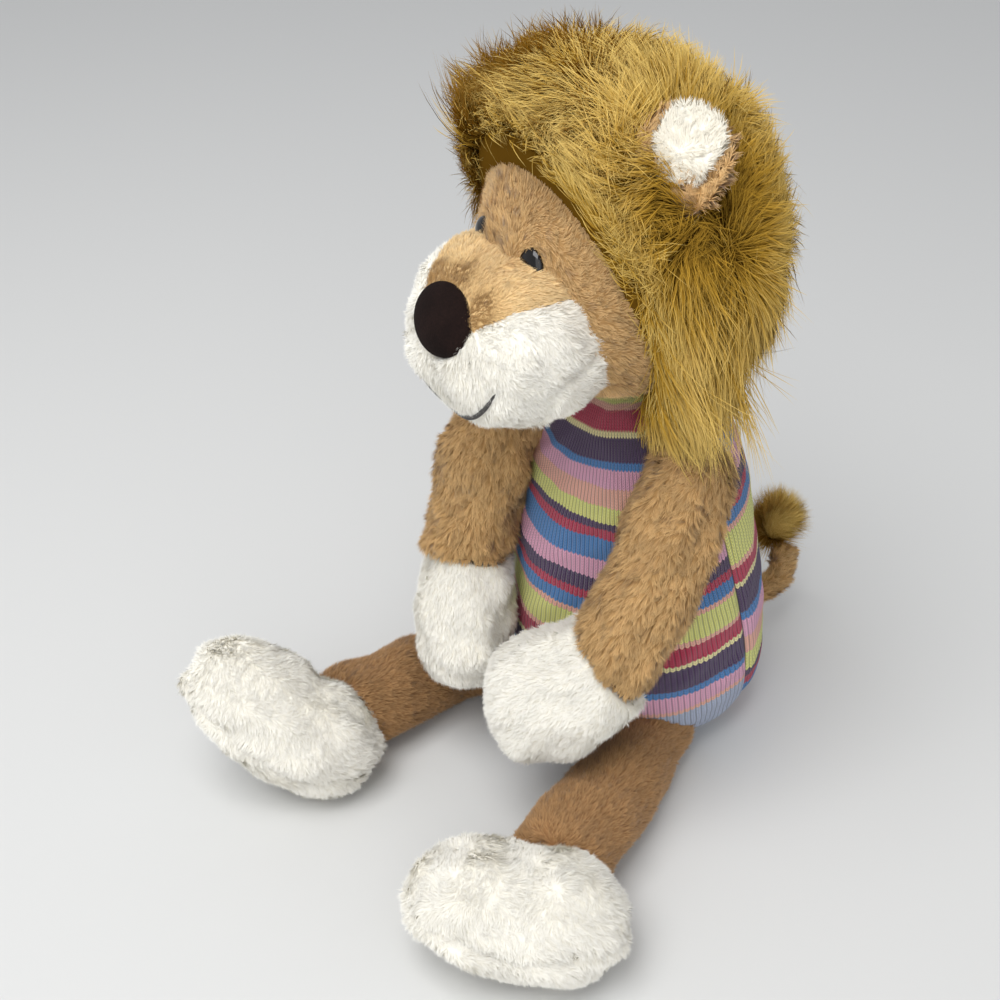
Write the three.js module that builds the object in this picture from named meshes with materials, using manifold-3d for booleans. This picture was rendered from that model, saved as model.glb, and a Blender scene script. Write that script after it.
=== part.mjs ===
// A seated plush lion with a long-haired mane and a striped knitted body.
// Millimetres, +Z up. It faces -Y, its own left side is +X, and it sits on Z = 0 with the
// flat seat round the origin.
import * as THREE from 'three';
import { mergeVertices } from 'three/addons/utils/BufferGeometryUtils.js';
import Module from 'manifold-3d';

const wasm = await Module();
wasm.setup();

const point = (x, y, z) => new THREE.Vector3(x, y, z);
const mirrored = p => point(-p.x, p.y, p.z);

// Shared by all pieces
const gap = 0.3; // air left between two sewn pieces
const floorCut = 0.5; // how deep a stuffed form is pressed flat by the floor
const overrun = 20; // how far a cutting box runs past what it cuts
const weldShare = 1e-6; // points closer than this share of a form's size are one point

// Torso
const torsoHeight = 176;
const torsoRadius = 52.5;
const torsoLean = 12; // how far the neck is ahead of the seat
const torsoWall = 1.6; // knitted fabric with its backing
const torsoBulge = 4.5; // how far the low part of the body lies behind the origin
const seamBehind = 18; // where the side seams start on the floor, behind the origin
const seamLean = THREE.MathUtils.degToRad(12.4); // they lean forward with the body
const seatPanelHeight = 5; // the panel underneath curls up to here
const pouchRadius = 27;
const pouchHeight = 24;
const pouchSquareShare = 1.3; // 1 is round, and more is squarer

// Head
const headHeight = 97;
const headHalfWidth = 47;
const headHalfDepth = 43.5;
const headAboveNeck = 41; // from the top of the torso to the head's middle
const headAheadOfNeck = 10.7;
const headTurn = THREE.MathUtils.degToRad(17.8); // to the lion's right
const headTilt = THREE.MathUtils.degToRad(-2.6);
const headWall = 1.6;
const neckOpening = 17; // radius of the hole that the head is filled through
const socketDent = 1.5; // the eyes are pulled in this deep
const socketSpread = 9;

// Muzzle and nose
const muzzleHalfLength = 31;
const muzzleHalfWidth = 37;
const muzzleHalfHeight = 31;
const muzzleSunk = 4; // how far the muzzle's middle lies inside the face
const muzzleDown = 18;
const muzzleSquareShare = 1.15; // seen from the side
const muzzleFlatShare = 1.5; // seen from above, so the cheeks stand beside the nose
const muzzleSlopeShare = 0.22; // the chin is ahead of the bridge of the nose
const muzzlePanelHalfWidth = 25; // the tan panel on top, at its back end
const noseHalfWidth = 14;
const noseHalfHeight = 11.4;
const noseHalfDepth = 5.5;
const noseRiseShare = 0.31; // slope of the line from the muzzle's middle to the nose
const noseLeanBack = THREE.MathUtils.degToRad(25);
const mouthHalfWidth = 22.5;
const mouthThread = 0.7; // radius of the embroidered line
const mouthDroopShare = 0.56;
const mouthSmileShare = 0.41;

// Eyes
const eyeRadius = 4.9;
const eyeDome = 3.8;
const eyeShank = 1.9; // radius of the ribbed post behind each eye
const eyeShankLength = 10;
const eyeApart = 32;
const eyeUp = 10.3;
const eyeSunk = 1; // how far the back of the eye's dome lies inside the face
const washerRadius = 6.5;
const washerThickness = 1.4;

// Mane
const maneThickness = 12.5; // at the sides of the head
const maneThicknessAbove = 13;
const maneThicknessBehind = 12;
const maneFront = 26; // from the head's middle to the hairline
const maneUp = 12.5;
const maneTilt = THREE.MathUtils.degToRad(20); // the hairline leans forward at the top

// Ears
const earHalfWidth = 15.5;
const earThickness = 6;
const earCup = 5; // how far the rim curls forward
const liningHalfWidth = 10;
const liningThickness = 2.4;
const earParting = 14; // how far the mane is parted before the hollow of an ear

// Limbs
const armReach = 100; // what the arm's curve is given in shares of
const armRadius = 18.4;
const pawHalfWidth = 24.5;
const pawHalfDepth = 20;
const limbSquareShare = 1.1; // of the paws and feet
const legReach = 100;
const legRadius = 19;
const footHalfWidth = 25;
const footHalfHeight = 22.5;
const leftFootLength = 81;
const rightFootLength = 86;
const soleShare = 0.6; // how much of the foot's height the sole panel takes

// Tail
const tailRadius = 6;
const tuftRadius = 11;
const tuftHalfHeight = 15;
const tailUp = 18; // from the floor to the tail's root
const tailAside = 2;
const tailReach = 40;

// Joint ranges, and the step at which a moving neighbour is cut out of a piece
const neckRange = THREE.MathUtils.degToRad(30);
const armRange = THREE.MathUtils.degToRad(60);
const legRange = THREE.MathUtils.degToRad(75);
const tailRange = THREE.MathUtils.degToRad(25);
const sweepStep = THREE.MathUtils.degToRad(15);

// How finely the forms are faceted
const bodySides = 18;
const limbSides = 12;

// How far a ring reaches at an angle, as a share of its half axes. Square 1 is an ellipse,
// and more is squarer.
function reachAt(angle, square) {
  const power = 2 * square;
  return (Math.abs(Math.cos(angle)) ** power + Math.abs(Math.sin(angle)) ** power) ** (-1 / power);
}

// Closes rings of points into a skin. Each ring has a centre and two half axes, and the
// first and last rings are single points.
function skin(rings, sides, square, bow = 0) {
  const positions = [];
  const faces = [];
  const middle = rings.slice(1, -1);
  const first = 0;
  const last = 1 + middle.length * sides;
  const at = (ring, side) => 1 + ring * sides + (side % sides);
  positions.push(...rings[0].centre.toArray());
  for (const ring of middle) {
    for (let side = 0; side < sides; side++) {
      const angle = (2 * Math.PI * side) / sides;
      const out = Math.cos(angle) * reachAt(angle, square);
      const spot = ring.centre.clone();
      spot.addScaledVector(ring.across, out);
      spot.addScaledVector(ring.up, Math.sin(angle) * reachAt(angle, square));
      spot.addScaledVector(ring.upward, -bow * (out * ring.girth) ** 2);
      positions.push(...spot.toArray());
    }
  }
  positions.push(...rings.at(-1).centre.toArray());
  for (let side = 0; side < sides; side++) {
    faces.push(first, at(0, side + 1), at(0, side));
    faces.push(at(middle.length - 1, side), at(middle.length - 1, side + 1), last);
    for (let ring = 0; ring < middle.length - 1; ring++) {
      faces.push(at(ring, side), at(ring, side + 1), at(ring + 1, side + 1));
      faces.push(at(ring, side), at(ring + 1, side + 1), at(ring + 1, side));
    }
  }
  const geometry = new THREE.BufferGeometry();
  geometry.setAttribute('position', new THREE.Float32BufferAttribute(positions, 3));
  geometry.setIndex(faces);
  return geometry;
}

// A stuffed form along a curve. Shares are pairs of place along the curve and girth there.
function stuffed({ path, shares, width, depth, across, sides, steps, square = 1, bow = 0 }) {
  const curve = new THREE.CatmullRomCurve3(path);
  const corners = shares.map(([along, girth]) => new THREE.Vector2(along, girth));
  const outline = new THREE.SplineCurve(corners).getPoints(steps);
  const rings = outline.map(({ x, y }) => {
    const along = THREE.MathUtils.clamp(x, 0, 1);
    const tangent = curve.getTangentAt(along);
    const side = across.clone().addScaledVector(tangent, -across.dot(tangent)).normalize();
    const upward = tangent.clone().cross(side);
    return {
      centre: curve.getPointAt(along),
      across: side.clone().multiplyScalar(width * y),
      up: upward.clone().multiplyScalar(depth * y),
      upward,
      girth: y,
    };
  });
  return skin(rings, sides, square, bow);
}

// A form like a ball with three half sizes, made of rings along Z. Flat is how square the
// rings are, and slope moves the lower rings towards -Y.
function puff(half, square, sides, steps, flat = square, slope = 0) {
  const rings = [];
  for (let step = 0; step <= steps; step++) {
    const angle = Math.PI * (step / steps - 0.5);
    const out = Math.cos(angle) * reachAt(angle, square);
    const rise = Math.sin(angle) * reachAt(angle, square);
    rings.push({
      centre: point(0, slope * half.z * rise, half.z * rise),
      across: point(half.x * out, 0, 0),
      up: point(0, half.y * out, 0),
      upward: point(0, 1, 0),
      girth: 1,
    });
  }
  return skin(rings, sides, flat);
}

// Geometry without normals, its points welded.
function welded(geometry) {
  const bare = geometry.clone();
  bare.deleteAttribute('normal');
  bare.deleteAttribute('uv');
  bare.computeBoundingSphere();
  return mergeVertices(bare, bare.boundingSphere.radius * weldShare);
}

// The same form with its skin moved outward, or inward where the distance is negative.
function grown(geometry, distance) {
  const form = welded(geometry);
  form.computeVertexNormals();
  const { position, normal } = form.attributes;
  for (let i = 0; i < position.count; i++) {
    position.setXYZ(
      i,
      position.getX(i) + distance * normal.getX(i),
      position.getY(i) + distance * normal.getY(i),
      position.getZ(i) + distance * normal.getZ(i),
    );
  }
  return form;
}

function solidOf(geometry) {
  const { attributes, index } = welded(geometry);
  const vertProperties = new Float32Array(attributes.position.array);
  const triVerts = new Uint32Array(index.array);
  return new wasm.Manifold(new wasm.Mesh({ numProp: 3, vertProperties, triVerts }));
}

function geometryOf(solid) {
  const { vertProperties, triVerts } = solid.getMesh();
  const geometry = new THREE.BufferGeometry();
  geometry.setAttribute('position', new THREE.BufferAttribute(vertProperties, 3));
  geometry.setIndex(new THREE.BufferAttribute(triVerts, 1));
  geometry.computeVertexNormals();
  return geometry;
}

const cut = (geometry, ...tools) => geometryOf(
  tools.reduce((solid, tool) => solid.subtract(solidOf(tool)), solidOf(geometry)),
);
const kept = (geometry, region) => geometryOf(solidOf(geometry).intersect(solidOf(region)));
const joined = (...pieces) => geometryOf(
  pieces.slice(1).reduce((solid, piece) => solid.add(solidOf(piece)), solidOf(pieces[0])),
);
const placed = (geometry, matrix) => geometry.clone().applyMatrix4(matrix);
const moved = (geometry, x, y, z) => geometry.clone().translate(x, y, z);

function turnAbout(pivot, axis, angle) {
  const there = new THREE.Matrix4().makeTranslation(pivot.x, pivot.y, pivot.z);
  const back = new THREE.Matrix4().makeTranslation(-pivot.x, -pivot.y, -pivot.z);
  return there.multiply(new THREE.Matrix4().makeRotationAxis(axis, angle)).multiply(back);
}

// All the places that a still neighbour takes, seen from a piece that turns from one angle
// to another about an axis.
function swept(geometry, { pivot, axis, from, to }) {
  const count = Math.ceil((to - from) / sweepStep);
  const copies = [];
  for (let i = 0; i <= count; i++) {
    const angle = from + ((to - from) * i) / count;
    copies.push(placed(geometry, turnAbout(pivot, axis, -angle)));
  }
  return joined(...copies);
}

function block(from, to) {
  const size = to.clone().sub(from);
  const middle = from.clone().add(to).divideScalar(2);
  return moved(new THREE.BoxGeometry(size.x, size.y, size.z), middle.x, middle.y, middle.z);
}

// A round piece whose outline is given as pairs of radius and height.
function revolved(outline, sides) {
  const corners = outline.map(([radius, height]) => new THREE.Vector2(radius, height));
  return new THREE.LatheGeometry(corners, sides).rotateX(Math.PI / 2);
}

const disc = (radius, bottom, top, sides) => revolved(
  [[0, bottom], [radius, bottom], [radius, top], [0, top]], sides,
);

const group = new THREE.Group();
const plush = (color, roughness = 0.95) => new THREE.MeshStandardMaterial({
  color, roughness, metalness: 0,
});
const tan = plush(0xb58a55);
const brownTan = plush(0x946c40);
const lightTan = plush(0xc9a46c);
const cream = plush(0xefeae0);
const gold = plush(0xa88a3a);
const knit = plush(0x8f6f9c, 0.9);
const cottonFill = plush(0xf4f3ef, 1);
const nylon = plush(0x9aa4ad, 0.8);
const velvet = plush(0x2c1a16, 0.85);
const glossBlack = plush(0x060606, 0.08);
const plainPlastic = plush(0xdfddd6, 0.5);

function add(parent, name, geometry, material) {
  const mesh = new THREE.Mesh(geometry, material);
  mesh.name = name;
  parent.add(mesh);
}

const floorBlock = block(
  point(-torsoHeight, -torsoHeight, -torsoHeight),
  point(torsoHeight, torsoHeight, 0),
);
const onFloor = geometry => cut(geometry, floorBlock);

// Torso: a pear that leans forward, with a flat seat. The two knitted halves meet at side
// seams and hold the fibre filling, and a bag of pellets keeps it sitting.
const torsoPathShares = [
  [-1, 0], [-1, 0.07], [-1, 0.15], [-0.6, 0.26], [0, 0.45], [0.33, 0.66], [0.75, 0.85], [1, 1],
];
const torsoShares = [
  [0, 0], [0, 0.45], [0.01, 0.58], [0.05, 0.81], [0.1, 0.93], [0.17, 0.99], [0.27, 1], [0.38, 0.97],
  [0.52, 0.9], [0.66, 0.81], [0.77, 0.7], [0.86, 0.56], [0.93, 0.42], [0.98, 0.27], [1, 0],
];
const torsoForm = stuffed({
  path: torsoPathShares.map(([ahead, height]) => point(
    0,
    -ahead * (ahead < 0 ? torsoBulge : torsoLean),
    -floorCut + height * (torsoHeight + floorCut),
  )),
  shares: torsoShares,
  width: torsoRadius,
  depth: torsoRadius,
  across: point(1, 0, 0),
  sides: bodySides,
  steps: 15,
});
const torsoAround = grown(torsoForm, gap);
const neck = point(0, -torsoLean, torsoHeight);
const neckAround = kept(torsoAround, block(
  point(-torsoHeight, -torsoHeight, torsoHeight - torsoRadius),
  point(torsoHeight, torsoHeight, torsoHeight + overrun),
));
const aheadOfSeam = moved(block(
  point(-torsoHeight, -torsoHeight, -torsoHeight),
  point(torsoHeight, -gap / 2, torsoHeight * 2),
).rotateX(seamLean), 0, seamBehind, 0);
const behindSeam = moved(block(
  point(-torsoHeight, gap / 2, -torsoHeight),
  point(torsoHeight, torsoHeight, torsoHeight * 2),
).rotateX(seamLean), 0, seamBehind, 0);
const upTo = height => block(
  point(-torsoHeight, -torsoHeight, -torsoHeight),
  point(torsoHeight, torsoHeight, height),
);
const torsoCover = cut(onFloor(torsoForm), grown(torsoForm, -torsoWall));
const knitted = cut(torsoCover, upTo(seatPanelHeight + gap));
add(group, 'torso_front', kept(knitted, aheadOfSeam), knit);
add(group, 'torso_back', kept(knitted, behindSeam), knit);
add(group, 'seat_panel', kept(torsoCover, upTo(seatPanelHeight)), knit);

const pouchFloor = torsoWall - floorCut + gap;
const pouchForm = moved(
  puff(point(pouchRadius, pouchRadius, pouchHeight / 2), pouchSquareShare, 14, 8),
  0, torsoBulge, pouchFloor + pouchHeight / 2 - floorCut,
);
add(group, 'pellet_pouch', cut(pouchForm, upTo(pouchFloor)), nylon);
add(group, 'torso_filling', cut(
  grown(torsoForm, -(torsoWall + gap)),
  upTo(pouchFloor),
  grown(pouchForm, gap),
), cottonFill);

// Head: everything from here to the mane is in the head's own frame, its middle at zero
const headGroup = new THREE.Group();
headGroup.position.set(0, -(torsoLean + headAheadOfNeck), torsoHeight + headAboveNeck);
headGroup.rotation.set(0, headTilt, -headTurn, 'ZYX');
headGroup.updateMatrix();
group.add(headGroup);
const torsoUnderHead = placed(
  swept(neckAround, { pivot: neck, axis: point(0, 0, 1), from: -neckRange, to: neckRange }),
  headGroup.matrix.clone().invert(),
);

const headPathShares = [[0.03, -0.485], [0.06, 0.1], [0.03, 0.515]];
const headShares = [
  [0, 0], [0.015, 0.32], [0.06, 0.6], [0.14, 0.82], [0.27, 0.95], [0.44, 1], [0.6, 0.985],
  [0.7, 0.92], [0.78, 0.83], [0.86, 0.69], [0.94, 0.46], [0.985, 0.24], [1, 0],
];
const headBall = stuffed({
  path: headPathShares.map(([ahead, up]) => point(0, -ahead * headHalfDepth, up * headHeight)),
  shares: headShares,
  width: headHalfWidth,
  depth: headHalfDepth,
  across: point(1, 0, 0),
  sides: bodySides,
  steps: 12,
});

// The line of sight of each eye leans outward, and its middle sits in a dent of the face
const eyeOutShare = 0.2;
const eyeUpShare = 0.1;
const eyes = [['left', 1], ['right', -1]].map(([name, sign]) => {
  const look = point(sign * eyeOutShare, -1, eyeUpShare).normalize();
  const aim = new THREE.Quaternion().setFromUnitVectors(point(0, 0, 1), look);
  const seat = point((sign * eyeApart) / 2, eyeSunk - headHalfDepth, eyeUp);
  return { name, seat, place: new THREE.Matrix4().compose(seat, aim, point(1, 1, 1)) };
});

function dented(geometry) {
  const { position } = geometry.attributes;
  const spot = new THREE.Vector3();
  for (let i = 0; i < position.count; i++) {
    spot.fromBufferAttribute(position, i);
    for (const { seat } of eyes) {
      const away = spot.distanceTo(seat) / socketSpread;
      spot.y += socketDent * Math.exp(-away * away);
    }
    position.setXYZ(i, spot.x, spot.y, spot.z);
  }
  return geometry;
}
const headForm = dented(headBall);
const headAround = grown(headForm, gap);

const domeShares = [[1, 0], [0.92, 0.39], [0.71, 0.71], [0.39, 0.92], [0, 1]];
const eyeForm = revolved([
  [0, -eyeShankLength],
  [eyeShank, -eyeShankLength],
  [eyeShank, 0],
  ...domeShares.map(([out, up]) => [out * eyeRadius, up * eyeDome]),
], 16);
const washerTop = -(headWall + gap + washerThickness);
const washerForm = revolved([
  [eyeShank + gap, washerTop - washerThickness], [washerRadius, washerTop - washerThickness],
  [washerRadius, washerTop], [eyeShank + gap, washerTop],
  [eyeShank + gap, washerTop - washerThickness],
], 12);
const eyeTools = eyes.flatMap(({ place }) => [
  placed(grown(eyeForm, gap), place),
  placed(disc(washerRadius + gap, washerTop - washerThickness - gap, washerTop + gap, 12), place),
]);
for (const { name, place } of eyes) {
  add(headGroup, `eye_${name}`, placed(eyeForm, place), glossBlack);
  add(headGroup, `eye_washer_${name}`, placed(washerForm, place), plainPlastic);
}
add(headGroup, 'head', cut(
  headForm,
  grown(headForm, -headWall),
  disc(neckOpening, -headHeight, 0, 16),
  torsoUnderHead,
  ...eyeTools,
), tan);
add(headGroup, 'head_filling', cut(
  grown(headForm, -(headWall + gap)),
  torsoUnderHead,
  ...eyeTools,
), cottonFill);

// Muzzle: a broad ball, a tan panel on top of it and white cheeks and chin below
const muzzleMiddle = point(0, muzzleSunk - headHalfDepth, -muzzleDown);
const muzzleHalf = point(muzzleHalfWidth, muzzleHalfLength, muzzleHalfHeight);
const muzzleForm = moved(
  puff(muzzleHalf, muzzleSquareShare, bodySides, 12, muzzleFlatShare, muzzleSlopeShare),
  ...muzzleMiddle.toArray(),
);
const muzzlePanelShares = [
  [0, -0.1], [0.3, 0], [0.5, 0.25], [0.64, 0.42], [0.96, 0.6], [1.15, 0.67], [1.6, 0.75],
];
const panelOutline = new THREE.Shape();
const panelEdge = muzzlePanelShares.map(([out, up]) => new THREE.Vector2(
  out * muzzlePanelHalfWidth,
  up * muzzleHalfHeight,
));
panelOutline.setFromPoints([
  ...panelEdge.map(({ x, y }) => new THREE.Vector2(-x, y)).reverse(),
  ...panelEdge.slice(1),
  new THREE.Vector2(panelEdge.at(-1).x, muzzleHalfHeight + overrun),
  new THREE.Vector2(-panelEdge.at(-1).x, muzzleHalfHeight + overrun),
]);
const panelRegion = moved(
  new THREE.ExtrudeGeometry(panelOutline, {
    depth: 2 * (muzzleHalfLength + overrun),
    bevelEnabled: false,
  }).rotateX(Math.PI / 2),
  0, muzzleHalfLength + overrun + muzzleMiddle.y, muzzleMiddle.z,
);
const muzzleShown = cut(muzzleForm, headAround, ...eyeTools);
add(headGroup, 'muzzle_top', kept(muzzleShown, panelRegion), lightTan);
add(headGroup, 'muzzle_white', cut(muzzleShown, grown(panelRegion, gap)), cream);

// A spot on the muzzle's skin, from its middle outward along a direction.
function onMuzzle(direction, lift) {
  const d = direction.clone().normalize();
  const { x, y, z } = point(d.x, d.y - muzzleSlopeShare * d.z, d.z).divide(muzzleHalf);
  const flat = Math.hypot(
    Math.abs(x) ** muzzleFlatShare,
    Math.abs(y) ** muzzleFlatShare,
  ) ** (1 / muzzleFlatShare);
  const power = 2 * muzzleSquareShare;
  const reach = (flat ** power + Math.abs(z) ** power) ** (-1 / power);
  return muzzleMiddle.clone().addScaledVector(d, reach + lift);
}
const noseForm = moved(
  puff(point(noseHalfWidth, noseHalfDepth, noseHalfHeight), 1, 12, 8).rotateX(-noseLeanBack),
  ...onMuzzle(point(0, -1, noseRiseShare), 0).toArray(),
);
add(headGroup, 'nose', cut(noseForm, grown(muzzleForm, gap)), velvet);

const mouthAheadShare = 0.62;
const mouthSteps = 8;
const mouthPath = [];
for (let step = 0; step <= mouthSteps; step++) {
  const out = (2 * step) / mouthSteps - 1;
  const direction = point(
    out * mouthHalfWidth,
    -muzzleHalfLength * mouthAheadShare,
    muzzleHalfHeight * (mouthSmileShare * out * out - mouthDroopShare),
  );
  mouthPath.push(onMuzzle(direction, mouthThread + gap));
}
const threadSection = new THREE.Shape().absarc(0, 0, mouthThread, 0, 2 * Math.PI);
add(headGroup, 'mouth_stitch', new THREE.ExtrudeGeometry(threadSection, {
  steps: 2 * mouthSteps,
  curveSegments: 4,
  extrudePath: new THREE.CatmullRomCurve3(mouthPath),
}), glossBlack);

// Ears: cups that lie back against the mane, with a white lining in the hollow side
const earPathShares = [[0.72, -0.12, 0.6], [0.89, -0.24, 0.86], [0.95, -0.17, 1.01], [0.93, 0, 1.25]];
const earShares = [
  [0, 0], [0.02, 0.4], [0.12, 0.62], [0.35, 0.86], [0.6, 1], [0.8, 0.92], [0.94, 0.6], [1, 0],
];
const earAcross = point(0.73, 0.56, -0.36);
const earHollow = point(0.64, -0.42, 0.63).normalize();
const earTools = [];
for (const [name, sign] of [['left', 1], ['right', -1]]) {
  const side = p => (sign > 0 ? p : mirrored(p));
  const path = earPathShares.map(shares => point(...shares).multiplyScalar(headHalfWidth));
  const form = stuffed({
    path: path.map(side),
    shares: earShares,
    width: earHalfWidth,
    depth: earThickness / 2,
    across: side(earAcross),
    sides: limbSides,
    steps: 9,
    bow: sign * earCup,
  });
  const lift = (earThickness + liningThickness) / 2 + 2 * gap;
  const lining = stuffed({
    path: path.slice(1).map(p => side(p.clone().addScaledVector(earHollow, lift))),
    shares: earShares,
    width: liningHalfWidth,
    depth: liningThickness / 2,
    across: side(earAcross),
    sides: 10,
    steps: 7,
    bow: sign * earCup * (liningHalfWidth / earHalfWidth) ** 2,
  });
  const parting = stuffed({
    path: path.slice(1).map(p => side(p.clone().addScaledVector(earHollow, earParting / 2))),
    shares: earShares,
    width: earHalfWidth,
    depth: earParting / 2,
    across: side(earAcross),
    sides: 10,
    steps: 7,
    bow: sign * earCup,
  });
  const around = grown(form, gap);
  add(headGroup, `ear_${name}`, cut(form, headAround), tan);
  add(headGroup, `ear_lining_${name}`, cut(lining, headAround, around), cream);
  earTools.push(around, grown(lining, gap), parting);
}

// Mane: a thick hood of fur round the back of the head, open at the face and the neck
const maneLength = maneFront + headHalfDepth + maneThicknessBehind;
const maneAxis = point(0, Math.cos(maneTilt), Math.sin(maneTilt));
const maneStart = point(0, 0, maneUp).addScaledVector(maneAxis, -maneFront);
const maneShares = [
  [0, 0], [0, 0.5], [0.005, 0.8], [0.05, 0.93], [0.2, 1], [0.42, 1], [0.65, 0.9], [0.84, 0.68],
  [0.95, 0.42], [1, 0],
];
const maneForm = stuffed({
  path: [0, 0.5, 1].map(share => maneStart.clone().addScaledVector(maneAxis, share * maneLength)),
  shares: maneShares,
  width: headHalfWidth + maneThickness,
  depth: headHeight / 2 + maneThicknessAbove,
  across: point(-1, 0, 0),
  sides: bodySides,
  steps: 11,
});
add(headGroup, 'mane', cut(
  maneForm,
  headAround,
  grown(muzzleForm, gap),
  torsoUnderHead,
  ...earTools,
), gold);

// Arms and legs. Each path is given in shares of the limb's reach from its root, because
// the two sides lie differently: the paws hang before the belly and the feet are spread.
const limbShares = [
  [0, 0], [0.015, 0.34], [0.06, 0.66], [0.15, 0.88], [0.35, 0.94], [0.6, 1], [0.8, 0.98], [0.95, 0.7],
  [1, 0],
];
const pawShares = [
  [0, 0], [0, 0.6], [0.02, 0.82], [0.12, 0.92], [0.4, 1], [0.64, 0.99], [0.82, 0.86], [0.94, 0.56],
  [1, 0],
];
const spread = (root, shares, reach) => shares.map(([x, y, z]) => root.clone().add(
  point(x, y, z).multiplyScalar(reach),
));
const legShares = [
  [0, 0], [0.02, 0.5], [0.08, 0.72], [0.3, 0.82], [0.6, 0.9], [0.88, 1], [0.97, 0.8], [1, 0],
];
const footShares = [
  [0, 0], [0.03, 0.45], [0.13, 0.78], [0.3, 0.98], [0.5, 1], [0.7, 0.98], [0.87, 0.78], [0.97, 0.45],
  [1, 0],
];
const onTorso = ([out, ahead, up]) => point(
  out * torsoRadius,
  -ahead * torsoRadius,
  up * torsoHeight,
);
const shoulder = onTorso([0.667, 0.533, 0.824]);
const armPathShares = {
  left: [[0.03, 0.1, 0.14], [0.055, -0.09, -0.17], [0.05, -0.205, -0.43], [-0.035, -0.33, -0.7],
    [-0.15, -0.42, -0.83]],
  right: [[0.02, 0.1, 0.14], [-0.04, -0.15, -0.13], [-0.07, -0.18, -0.4], [-0.055, -0.285, -0.63],
    [-0.005, -0.32, -0.83]],
};
const pawPathShares = {
  left: [[-0.005, -0.295, -0.68], [-0.15, -0.42, -0.845], [-0.39, -0.52, -1.01]],
  right: [[-0.05, -0.25, -0.58], [-0.005, -0.34, -0.85], [0.09, -0.43, -1.11]],
};
const arms = {
  left: {
    root: shoulder,
    pawAcross: point(0.67, -0.1, -0.73),
    pawWidth: pawHalfWidth,
    axis: point(-0.5, -0.866, 0).normalize(),
  },
  right: {
    root: mirrored(shoulder),
    pawAcross: point(0.74, 0.67, 0),
    pawWidth: pawHalfDepth,
    axis: point(-0.5, 0.866, 0).normalize(),
  },
};
const hipShares = [0.476, 0.133]; // of the torso's radius, outward and ahead
const hipUpShare = 0.737; // of the leg's radius
const hip = point(
  hipShares[0] * torsoRadius,
  -hipShares[1] * torsoRadius,
  hipUpShare * legRadius,
);
const hipHinge = onTorso([0.533, 0.28, 0]); // on the floor, where the leg leaves the seat
const legPathShares = {
  left: [[0, 0, 0], [0.14, -0.44, 0.02], [0.22, -0.89, 0.05], [0.27, -1.04, 0.06]],
  right: [[0, 0, 0], [-0.21, -0.24, 0.02], [-0.33, -0.57, 0.03], [-0.38, -0.89, 0.05],
    [-0.39, -1.04, 0.07]],
};
const heelShares = { left: [0.427, -1.143], right: [-0.32, -1.125] };
const heelUpShare = 0.889; // of the foot's half height
const legs = {
  left: {
    root: hip,
    hinge: hipHinge,
    toe: point(-0.83, -0.555, 0.06).normalize(),
    footAcross: point(0.56, -0.83, 0),
    footLength: leftFootLength,
    axis: point(0.968, 0.25, 0).normalize(),
  },
  right: {
    root: mirrored(hip),
    hinge: mirrored(hipHinge),
    toe: point(-0.7, -0.47, 0.54).normalize(),
    footAcross: point(0.45, -0.85, -0.2),
    footLength: rightFootLength,
    axis: point(0.92, -0.39, 0).normalize(),
  },
};

let otherPaw = null;
const legTools = [];
for (const [name, leg] of Object.entries(legs)) {
  const torsoCut = swept(torsoAround, {
    pivot: leg.hinge, axis: leg.axis, from: 0, to: legRange,
  });
  const form = stuffed({
    path: spread(leg.root, legPathShares[name], legReach),
    shares: legShares,
    width: legRadius,
    depth: legRadius,
    across: point(1, 0, 0),
    sides: limbSides,
    steps: 10,
  });
  const [heelOut, heelBack] = heelShares[name];
  const heel = point(
    leg.root.x + heelOut * legReach,
    leg.root.y + heelBack * legReach,
    heelUpShare * footHalfHeight,
  );
  const back = heel.clone().addScaledVector(leg.toe, -footHalfHeight);
  const middle = back.clone().addScaledVector(leg.toe, leg.footLength / 2);
  const tip = back.clone().addScaledVector(leg.toe, leg.footLength);
  const foot = stuffed({
    path: [back, middle, tip],
    shares: footShares,
    width: footHalfWidth,
    depth: footHalfHeight,
    across: leg.footAcross,
    sides: 14,
    steps: 11,
    square: limbSquareShare,
  });
  const upright = leg.toe.clone().cross(leg.footAcross).normalize();
  const basis = new THREE.Matrix4().makeBasis(
    leg.toe,
    upright.clone().cross(leg.toe).normalize(),
    upright,
  ).setPosition(middle);
  const soleTop = footHalfHeight * (2 * soleShare - 1);
  const below = placed(block(
    point(-leg.footLength, -leg.footLength, -leg.footLength),
    point(leg.footLength, leg.footLength, soleTop),
  ), basis);
  const above = placed(block(
    point(-leg.footLength, -leg.footLength, soleTop + gap),
    point(leg.footLength, leg.footLength, leg.footLength),
  ), basis);
  const footOnFloor = onFloor(foot);
  add(group, `leg_${name}`, cut(onFloor(form), torsoCut, grown(foot, gap)), brownTan);
  add(group, `foot_${name}`, kept(footOnFloor, above), cream);
  add(group, `foot_sole_${name}`, kept(footOnFloor, below), cream);
  legTools.push(grown(form, gap));
}
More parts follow.
